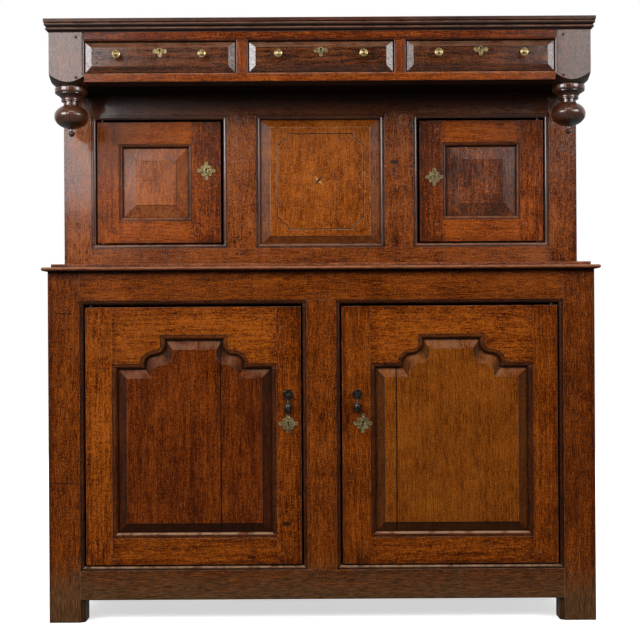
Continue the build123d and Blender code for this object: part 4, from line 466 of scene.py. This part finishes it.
def oak(name, dark, mid, light, figure=0.2, streaks=0.4, rays=0.14, patina=0.6, grime_and_shade=0.88,
        rough=(0.24, 0.44), coat=0.0, tone=0.22, wear_and_highlight=0.6, edges=0.5, joint=None, dusty=False,
        shine=0.2, worn=(0.30, 0.16, 0.09), slope_shade=0.45, dust_and_top_light=0.45, canopy_shadow=False, incised=None,
        face=None, marks=()):
    """Old waxed oak: growth rings, fibres, pores, ray flecks, patina, soiling with painted shade
    in hollows, and lighter edges, rubbed and with a painted highlight.

    The slopes argument sets the painted shade on slanting and overhung sides, and canopy
    paints the frieze's shadow on what is just under it.
    Incised is the Y at which cut lines in the face begin, which get painted shade, and face
    is the Y of the face that the mouldings with painted shade are sunk behind.
    Faces that tilt up get lighter, dusty and with painted light from above.
    Marks are dark cracks, holes or smudges on the front: X, Z, half length, half height.
    """
    g = Graph(name)
    wood, span, member = (g.node("ShaderNodeAttribute", attribute_name=made)
                          for made in ("wood", "spread", "tone"))
    place = g.node("ShaderNodeTexCoord").outputs["Object"]
    along, across, deep = g.split(wood.outputs["Vector"])
    end_place, side_place, _ = g.split(span.outputs["Vector"])
    spot_x, spot_y, height_up = g.split(place)
    sideways, forward, upward = g.split(g.node("ShaderNodeTexCoord").outputs["Normal"])

    def grain(pattern):
        """A pattern that runs with the grain."""
        length, width, *shape = GRAIN_PATTERNS[pattern]
        stretched = g.node("ShaderNodeCombineXYZ")
        for socket, part, scale in zip(stretched.inputs, (along, across, deep),
                                       (length, width, width)):
            g.put(socket, g.times(part, scale))
        return g.noise(stretched.outputs[0], 1.0, *shape)

    # the wood itself
    swayed = g.plus(across, g.swing(grain("sway"), SWAY))
    radius = g.math("SQRT", g.plus(g.times(swayed, swayed), g.times(deep, deep)))
    ring = g.math("FRACT", g.times(radius, RINGS_PER_METRE))
    ring = g.math("ABSOLUTE", g.math("SUBTRACT", g.times(ring, 2.0), 1.0))
    fibre, cloud, mottle = grain("fibre"), grain("cloud"), g.space("mottle", place)
    pore = g.mask("pore", grain("pore"))
    value = g.plus(0.5, g.times(member.outputs["Fac"], tone))
    for pattern, amount in ((fibre, FIBRE_TONE), (grain("speckle"), SPECKLE_TONE),
                            (grain("streak"), STREAK_TONE * streaks),
                            (ring, RING_TONE * figure), (mottle, MOTTLE_TONE * patina),
                            (cloud, CLOUD_TONE * patina)):
        value = g.plus(value, g.swing(pattern, amount))
    value = g.plus(value, g.times(g.mask("fleck", grain("fleck")), rays))
    rim = g.plus(g.times(g.math("ABSOLUTE", end_place), END_STEEPNESS), 1.0 - END_STEEPNESS)
    rim = g.math("MAXIMUM", g.math("ABSOLUTE", side_place), rim)
    rim = g.window(g.plus(rim, g.swing(cloud, RIM_RAGGED)), *RIM_REACH, 0.0, edges)
    value = g.math("SUBTRACT", value, g.times(rim, RIM_DARKENING))
    colour = g.ramp(value, [(0.0, dark), (0.5, mid), (1.0, light)])
    colour = g.blend(g.times(pore, PORE_DARKENING), colour, shade(dark, PORE_SHADE))
    stain = g.mask("stain", g.space("stain", place))
    colour = g.blend(g.times(stain, STAIN_DARKENING * patina), colour, shade(dark, STAIN_SHADE))
    if dusty:
        low = g.mask("near_floor", g.plus(height_up, g.swing(mottle, SCUFF_RAGGED)))
        scuffed = g.blend(g.mask("scuffed_fibre", fibre), SCUFF_DARK, SCUFF_LIGHT)
        colour = g.blend(low, colour, scuffed)

    # soiling and painted shade in hollows
    air = g.plus(g.open_air(*WOOD_AIR), g.swing(mottle, GRIME_AND_SHADE_RAGGED))
    dirt_and_shade = g.window(air, *HOLLOW, grime_and_shade, 0.0)
    soft_normal, turned = g.soft_edges(EDGE_RADIUS if incised is None else FIELD_EDGE_RADIUS)
    # edges lighter: rubbed, and a painted highlight along them
    edge = g.times(g.mask("edge", turned), g.math("SUBTRACT", 1.0, dirt_and_shade, clamp=True))
    rub = g.mask("rub", g.space("rub", place))
    colour = g.blend(g.times(g.times(edge, rub), wear_and_highlight), colour, worn)
    # faces that tilt up get lighter: dusty, and painted light from above
    lying = g.times(g.mask("tilted_up", upward), g.mask("not_level", upward))
    colour = g.blend(g.times(g.times(lying, rub), dust_and_top_light), colour, worn)

    # painted shade on slanting, overhung and downward faces, under the frieze, in sunk mouldings
    # and in cut lines, joined to the soiling and painted shade in hollows, and dark marks
    # painted shade on sides that slant and on overhung sides
    shades_and_marks = [
        g.times(g.window(g.math("ABSOLUTE", sideways), *FLANK_TURN, 0.0, slope_shade),
                g.mask("partly_forward", forward)),
        g.window(upward, *BELOW_TURN, min(1.0, slope_shade * BELOW_SHARE), 0.0),
        # painted shade on faces that look down
        g.times(g.mask("facing_down", upward), g.mask("underside_shade_height", height_up)),
    ]
    # painted shadow of the frieze on what is just under it
    if canopy_shadow:
        shades_and_marks.append(g.mask("canopy_shadow", g.plus(height_up, g.swing(mottle, CANOPY_RAGGED))))
    # painted shade in the mouldings sunk behind the face, less on those that face up
    if face is not None:
        near, far = ([face + depth for depth in depths] for depths in (SUNK_START, SUNK_END))
        sunk = g.times(g.window(spot_y, *near), g.window(spot_y, *far, SUNK_SHADE, 0.0))
        sunk = g.times(sunk, g.mask("sunk_forward", forward))
        shades_and_marks.append(g.times(sunk, g.mask("sunk_not_up", upward)))
    # painted shade in the cut lines of the centre field
    if incised is not None:
        inside = [g.window(g.distance(spot, middle), reach, reach + BORDER_FADE, 1.0, 0.0)
                  for spot, middle, reach in zip((spot_x, height_up), FIELD_MIDDLE, BORDER_REACH)]
        shades_and_marks.append(g.times(g.times(*inside), g.window(spot_y, incised, incised + CUT_FADE)))
    for x, z, long, high in marks:
        wave = g.plus(height_up, g.swing(g.space("wobble", place), MARK_RAGGED))
        u = g.window(g.distance(spot_x, x), MARK_CORE[0] * long, long, 1.0, 0.0)
        v = g.window(g.distance(wave, z), MARK_CORE[1] * high, high, 1.0, 0.0)
        shades_and_marks.append(g.times(g.times(g.times(u, v), g.mask("forward", forward)), MARK_DEPTH))
    for film in shades_and_marks:
        dirt_and_shade = g.math("MAXIMUM", dirt_and_shade, film)
    # soiling, painted shade and marks, all in one near-black colour
    colour = g.blend(dirt_and_shade, colour, GRIME_AND_SHADE_COLOUR)

    # relief and gloss
    height = g.plus(g.times(fibre, FIBRE_RELIEF), g.times(pore, -PORE_RELIEF))
    if joint is not None:
        drifted = g.plus(spot_x, g.swing(g.space("drift", place), JOINT_DRIFT))
        line = g.window(g.distance(drifted, joint), *JOINT_WIDTH, 1.0, 0.0)
        colour = g.blend(g.times(line, JOINT_DARKENING), colour, JOINT_COLOUR)
        height = g.math("SUBTRACT", height, g.times(line, JOINT_DEPTH))
    fine = g.bump(height, soft_normal, *FINE_BUMP)
    waves = g.plus(g.space("swell", place), g.times(g.space("ripple", place), RIPPLE_SHARE))
    dull = g.plus(g.times(mottle, MOTTLE_DULLING), g.times(fibre, FIBRE_DULLING))
    roughness = g.window(g.plus(dull, g.times(dirt_and_shade, DIRT_AND_SHADE_DULLING)), *DULL_RANGE, *rough)
    roughness = g.math("MAXIMUM", roughness, g.mask("level_roughness", upward))
    return g.finish(Base_Color=colour, Roughness=roughness,
                    Normal=g.bump(waves, fine, *BROAD_BUMP),
                    Specular_IOR_Level=shine, Coat_Weight=coat, Coat_Roughness=COAT_ROUGHNESS)


# ---- Metal ------------------------------------------------------------------------------
METAL_AIR = (6, 0.0025)
METAL_RAGGED = 0.8
METAL_HOLLOW_SHADE = 0.12
METAL_EDGE_RADIUS = 0.0010
METAL_EDGE_SHARE, METAL_EDGE_LIGHT = 0.9, 2.0
METAL_BUMP = (0.35, 0.0003)
METAL_DULL_RANGE = (0.3, 1.1)


def metal(name, deep, bright, rough, pure=1.0):
    """Old hand-finished metal: bright where it is rubbed, dull and brown in its hollows."""
    g = Graph(name)
    place = g.node("ShaderNodeTexCoord").outputs["Object"]
    cloud, speck = g.space("metal_cloud", place), g.space("metal_speck", place)
    dull = g.mask("metal_dull", g.plus(g.open_air(*METAL_AIR), g.swing(cloud, METAL_RAGGED)))
    colour = g.blend(g.mask("metal_bright", cloud), deep, bright)
    colour = g.blend(dull, colour, shade(deep, METAL_HOLLOW_SHADE))
    soft_normal, turned = g.soft_edges(METAL_EDGE_RADIUS)
    edge = g.times(g.mask("metal_edge", turned), METAL_EDGE_SHARE)
    colour = g.blend(edge, colour, shade(bright, METAL_EDGE_LIGHT))
    return g.finish(Base_Color=colour, Metallic=pure,
                    Normal=g.bump(g.plus(speck, cloud), soft_normal, *METAL_BUMP),
                    Roughness=g.window(g.plus(cloud, dull), *METAL_DULL_RANGE, *rough))


# ---- Materials --------------------------------------------------------------------------
# X, Z, half length and half height of each mark
POST_MARKS = [(-0.690, 0.828, 0.030, 0.0018), (-0.690, 0.374, 0.034, 0.0020),
              (-0.690, 0.715, 0.020, 0.0012), (-0.691, 0.546, 0.003, 0.0030)]
DOOR_MARKS = [(-0.588, 0.680, 0.026, 0.0015), (-0.094, 0.262, 0.012, 0.0080),
              (-0.190, 0.172, 0.014, 0.0060), (-0.205, 0.210, 0.0012, 0.0160)]
UPPER_MARKS = [(-0.506, 0.988, 0.0025, 0.0120), (0.070, 0.974, 0.004, 0.0080),
               (0.210, 1.255, 0.014, 0.0090)]
# rubbed and dusty, with a painted highlight on the edges and painted light on faces that tilt up
RUBBED_AND_LIT = dict(shine=0.12, dust_and_top_light=1.0, wear_and_highlight=0.9, worn=(0.34, 0.19, 0.11))
LOWER_PANEL = dict(edges=0.1, wear_and_highlight=0.9, shine=0.12, slope_shade=0.6)
UNWAXED = dict(rough=(0.6, 0.85), patina=0.8)
WOODS = {            # finish: the material's name, its dark, middle and light, and its ways
    "base_top": oak("oak_base_top", (0.060, 0.014, 0.004), (0.210, 0.055, 0.018),
                    (0.380, 0.125, 0.045), dust_and_top_light=0.5, slope_shade=0.3, edges=0.1),
    "post": oak("oak_base_frame", (0.026, 0.0048, 0.0006), (0.110, 0.0205, 0.0014),
                (0.290, 0.0680, 0.0044), dusty=True, slope_shade=0.55, face=BASE_FACE,
                marks=POST_MARKS, **RUBBED_AND_LIT),
    "door": oak("oak_base_doors", (0.036, 0.0062, 0.0005), (0.158, 0.0300, 0.0013),
                (0.340, 0.0840, 0.0050), figure=0.3, rays=0.2, slope_shade=0.6,
                face=DOOR_FACE["lower"], marks=DOOR_MARKS, **RUBBED_AND_LIT),
    "panel_left": oak("oak_panel_left", (0.028, 0.0044, 0.0005), (0.098, 0.0155, 0.0009),
                      (0.213, 0.0459, 0.0032), streaks=0.55,
                      joint=BOARD_JOINT["lower_door_left_panel"], **LOWER_PANEL),
    "panel_right": oak("oak_panel_right", (0.045, 0.0086, 0.0006), (0.153, 0.0353, 0.0022),
                       (0.270, 0.0757, 0.0055),
                       joint=BOARD_JOINT["lower_door_right_panel"], **LOWER_PANEL),
    "upper": oak("oak_upper_frame", (0.034, 0.0060, 0.0012), (0.156, 0.0328, 0.0045),
                 (0.295, 0.0780, 0.0112), shine=0.45, slope_shade=0.3, rough=(0.15, 0.30),
                 canopy_shadow=True, patina=0.85, rays=0.25, coat=0.45, face=UPPER_FACE,
                 marks=UPPER_MARKS),
    "upper_door": oak("oak_upper_doors", (0.044, 0.0089, 0.0024), (0.185, 0.0355, 0.0036),
                      (0.353, 0.0820, 0.0080), figure=0.3, rays=0.2, shine=0.25,
                      canopy_shadow=True, patina=0.9, face=DOOR_FACE["upper"], rough=(0.16, 0.30)),
    "upper_panel": oak("oak_upper_panels", (0.051, 0.0144, 0.0065), (0.212, 0.0480, 0.0104),
                       (0.386, 0.1080, 0.0221), edges=0.1, wear_and_highlight=0.9, shine=0.45, slope_shade=0.3,
                       dust_and_top_light=0.0, patina=0.9, rays=0.3, rough=(0.15, 0.28)),
    # the pale rims round the centre field's cut lines are a painted highlight
    "centre": oak("oak_centre_panel", (0.070, 0.0143, 0.0020), (0.238, 0.0538, 0.0046),
                  (0.387, 0.1092, 0.0117), figure=0.1, streaks=0.25, rays=0.3, grime_and_shade=0.6,
                  patina=1.0, edges=0.2, shine=0.3, wear_and_highlight=1.0, rough=(0.15, 0.3), slope_shade=0.4,
                  dust_and_top_light=0.0, worn=(0.66, 0.36, 0.17), incised=CUT_START_Y),
    "frieze": oak("oak_frieze_rails", (0.041, 0.0068, 0.0012), (0.159, 0.0274, 0.0030),
                  (0.330, 0.0780, 0.0070), shine=0.25, edges=0.3, rough=(0.15, 0.30),
                  slope_shade=0.3),
    "drawer": oak("oak_drawer_fronts", (0.016, 0.0042, 0.0018), (0.061, 0.0161, 0.0042),
                  (0.164, 0.0434, 0.0108), figure=0.5, streaks=0.7, shine=0.55, edges=0.2,
                  rough=(0.10, 0.24), slope_shade=0.1, dust_and_top_light=0.2),
    "corner": oak("oak_corner_posts", (0.018, 0.0050, 0.0016), (0.070, 0.0190, 0.0066),
                  (0.160, 0.0480, 0.0180), shine=0.35, rough=(0.22, 0.36), slope_shade=0.3,
                  dust_and_top_light=0.0, edges=0.3, coat=0.8),
    "cornice": oak("oak_cornice", (0.014, 0.0029, 0.0012), (0.056, 0.0130, 0.0043),
                   (0.130, 0.0346, 0.0124), shine=0.4),
    "dry": oak("oak_dry", (0.060, 0.032, 0.016), (0.180, 0.105, 0.058), (0.320, 0.210, 0.130),
               rays=0.12, **UNWAXED),
    # near black: painted shade for the soffit under the frieze, which the top boards share
    "black_for_shade": oak("oak_under_top", (0.006, 0.004, 0.003), (0.022, 0.012, 0.008),
                 (0.060, 0.034, 0.022), shine=0.1, **UNWAXED),
}
METALS = {
    "brass": metal("brass_old", (0.15, 0.10, 0.036), (0.54, 0.41, 0.20), (0.28, 0.48), 0.8),
    "iron": metal("iron_old", (0.020, 0.016, 0.014), (0.090, 0.075, 0.065), (0.35, 0.6)),
}
FINISH_OF = {        # node: its finish
    "base_top": "base_top", "upper_centre_panel": "centre", "corner_posts": "corner",
    "cornice": "cornice", "top_and_soffit_boards": "black_for_shade",
    **dict.fromkeys(("base_front_posts", "base_front_rails", "base_muntin", "side_panels",
                     "side_and_back_rails", "carcass_pegs", "back_posts"), "post"),
    **dict.fromkeys(("upper_front_stiles", "upper_front_rails", "upper_muntins"), "upper"),
    **dict.fromkeys(("frieze_rails_and_dividers", "frieze_side_boards"), "frieze"),
}
FINISH_OF_KIND = {   # the start and the end of a node's name: its finish
    ("lower_door_left", "_panel"): "panel_left", ("lower_door_right", "_panel"): "panel_right",
    ("lower_door", "_frame"): "door", ("upper_door", "_panel"): "upper_panel",
    ("upper_door", "_frame"): "upper_door", ("drawer", "_front"): "drawer",
}


def wood_for(node):
    """The finish of a wooden node, or None for metal."""
    for (start, end), finish in FINISH_OF_KIND.items():
        if node.startswith(start) and node.endswith(end):
            return finish
    return FINISH_OF.get(node, "dry" if SLOT_OF[node] == "oak_dry" else None)


for node in sorted(frame["nodes"]):
    finish = wood_for(node)
    if finish:
        dress(node, WOODS[finish])
        continue
    for slot in frame["nodes"][node].material_slots:
        slot.link = "OBJECT"
        slot.material = METALS[SLOT_OF[node]]

# ---- Inlaid cross on the centre panel ---------------------------------------------------
CROSS = (-0.005, 1.204)
SHOULDER = (0.1, 0.42)               # of a lozenge, as shares of its length and its width
LET_IN = 0.0004                      # how deep a lozenge is let into the field
INLAY_GRAIN = (11, 0.1, 0.1)


def lozenge(name, length, width, turn, material, proud):
    """A thin inlaid lozenge that stands a hair proud of the field."""
    mesh = bpy.data.meshes.new(name)
    shape = bmesh.new()
    cos, sin = math.cos(turn), math.sin(turn)
    out, up = SHOULDER[0] * length, SHOULDER[1] * width
    rim = []
    for u, v in ((length / 2, 0), (out, up), (0, width / 2), (-out, up),
                 (-length / 2, 0), (-out, -up), (0, -width / 2), (out, -up)):
        x = CROSS[0] + u * cos - v * sin
        z = CROSS[1] + u * sin + v * cos
        rim.append(shape.verts.new((x, FIELD_Y - proud, z)))
    back = [shape.verts.new((front.co.x, FIELD_Y + LET_IN, front.co.z)) for front in rim]
    shape.faces.new(rim)
    shape.faces.new(back[::-1])
    for i, vertex in enumerate(rim):
        j = (i + 1) % len(rim)
        shape.faces.new((vertex, back[i], back[j], rim[j]))
    bmesh.ops.recalc_face_normals(shape, faces=shape.faces)
    shape.to_mesh(mesh)
    shape.free()
    corners = [mesh.vertices[corner.vertex_index].co for corner in mesh.loops]
    along, across, deep = INLAY_GRAIN
    attribute(mesh, "wood", np.array([(co.x * cos + co.z * sin + along,
                                       across - co.x * sin + co.z * cos, deep)
                                      for co in corners]))
    attribute(mesh, "spread", np.zeros((len(corners), 3)))
    attribute(mesh, "tone", np.zeros(len(corners)))
    mesh.materials.append(material)
    piece = bpy.data.objects.new(name, mesh)
    bpy.context.scene.collection.objects.link(piece)
    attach(piece, BODY_OF["upper_centre_panel"])


BOG = oak("oak_inlay_dark", (0.006, 0.004, 0.003), (0.016, 0.009, 0.006), (0.035, 0.02, 0.012))
HOLLY = oak("inlay_light", (0.25, 0.11, 0.03), (0.46, 0.24, 0.08), (0.62, 0.36, 0.15))
lozenge("inlay_light_lozenge", 0.036, 0.0075, math.radians(135), HOLLY, 0.0002)
lozenge("inlay_dark_lozenge", 0.040, 0.0070, math.radians(48), BOG, 0.0003)

# ---- Studio -----------------------------------------------------------------------------
FLOOR_Z = -0.0005
FLOOR_REACH = 30
FLOOR_COLOUR, FLOOR_SEEN_COLOUR = (0.10, 0.098, 0.095), (0.90, 0.90, 0.90)
FLOOR_GLOW = 0.62
MIRRORED_GLOW = 0.2                  # share of the glow that polished wood and metal mirror
AREA_LIGHTS = [      # name, place, the point it faces, width, height, watts
    ("key_left", (-2.7, -2.5, 2.35), (0.0, -0.2, 0.9), 1.7, 1.4, 114),
    ("key_right", (2.7, -2.5, 2.35), (0.0, -0.2, 0.9), 1.7, 1.4, 76),
    ("sheen_left", (-1.40, -3.3, 2.40), (0.0, -0.2, 1.2), 0.55, 1.9, 16),
    ("sheen_right", (1.45, -3.3, 2.65), (0.0, -0.2, 1.2), 0.50, 1.4, 8),
    ("top", (0.0, -2.6, 3.9), (0.0, 0.0, 0.6), 2.4, 1.0, 26),
    ("back", (0.0, 3.4, 2.2), (0.0, 0.0, 0.9), 2.6, 1.8, 90),
]
WORLD_BAND = {       # the sky is dim on the front's side and bright behind the object
    "From Min": -0.45, "From Max": 0.30, "To Min": 0.02, "To Max": 0.80,
}

floor = Graph("studio_floor")
rays = floor.node("ShaderNodeLightPath").outputs
seen = rays["Is Camera Ray"]
mirrored = floor.math("MAXIMUM", seen, floor.times(rays["Is Glossy Ray"], MIRRORED_GLOW))
floor.finish(Base_Color=floor.blend(seen, FLOOR_COLOUR, FLOOR_SEEN_COLOUR),
             Roughness=0.9, Emission_Color=(1.0, 1.0, 1.0),
             Emission_Strength=floor.times(mirrored, FLOOR_GLOW), Specular_IOR_Level=0.0)
floor_mesh = bpy.data.meshes.new("studio_floor")
floor_mesh.from_pydata([(x * FLOOR_REACH, y * FLOOR_REACH, FLOOR_Z)
                        for x, y in ((-1, -1), (1, -1), (1, 1), (-1, 1))], [], [(0, 1, 2, 3)])
floor_mesh.materials.append(floor.material)
sheet = bpy.data.objects.new("studio_floor", floor_mesh)
bpy.context.scene.collection.objects.link(sheet)

for name, place, aim, width, height, watts in AREA_LIGHTS:
    data = bpy.data.lights.new(name, "AREA")
    data.shape = "RECTANGLE"
    data.size = width
    data.size_y = height
    data.energy = watts
    lamp = bpy.data.objects.new(name, data)
    lamp.location = place
    lamp.rotation_euler = (Vector(aim) - Vector(place)).to_track_quat("-Z", "Y").to_euler()
    bpy.context.scene.collection.objects.link(lamp)

world = bpy.data.worlds.new("studio")
bpy.context.scene.world = world
world.use_nodes = True
tree = world.node_tree
background = tree.nodes["Background"]
path = tree.nodes.new("ShaderNodeLightPath")
direction = tree.nodes.new("ShaderNodeTexCoord")
split = tree.nodes.new("ShaderNodeSeparateXYZ")
tree.links.new(direction.outputs["Generated"], split.inputs[0])
behind = tree.nodes.new("ShaderNodeMapRange")
for key, value in WORLD_BAND.items():
    behind.inputs[key].default_value = value
tree.links.new(split.outputs[1], behind.inputs["Value"])
strength = tree.nodes.new("ShaderNodeMath")
strength.operation = "MAXIMUM"
tree.links.new(path.outputs["Is Camera Ray"], strength.inputs[0])
tree.links.new(behind.outputs["Result"], strength.inputs[1])
background.inputs["Color"].default_value = (1, 1, 1, 1)
tree.links.new(strength.outputs[0], background.inputs["Strength"])

# ---- Camera -----------------------------------------------------------------------------
CAMERA_X = -0.0032
CAMERA_DISTANCE = 3.107              # from the front of the base
CAMERA_HEIGHT = 0.7927
CAMERA_ROLL = math.radians(0.33)
VIEW_WIDTH = 1.715                   # across the picture, at the front of the base
SENSOR = 36.0
SHIFT_PIXELS, PICTURE_PIXELS = 5.6, 640
CLIP = (0.05, 100)
camera_data = bpy.data.cameras.new("camera")
camera_data.sensor_width = SENSOR
camera_data.lens = SENSOR * CAMERA_DISTANCE / VIEW_WIDTH
camera_data.shift_y = SHIFT_PIXELS / PICTURE_PIXELS
camera_data.clip_start, camera_data.clip_end = CLIP
camera = bpy.data.objects.new("camera", camera_data)
camera.location = (CAMERA_X, BASE_FACE - CAMERA_DISTANCE, CAMERA_HEIGHT)
camera.rotation_euler = (math.pi / 2, CAMERA_ROLL, 0)
bpy.context.scene.collection.objects.link(camera)
bpy.context.scene.camera = camera
bpy.context.scene.view_settings.view_transform = "Standard"
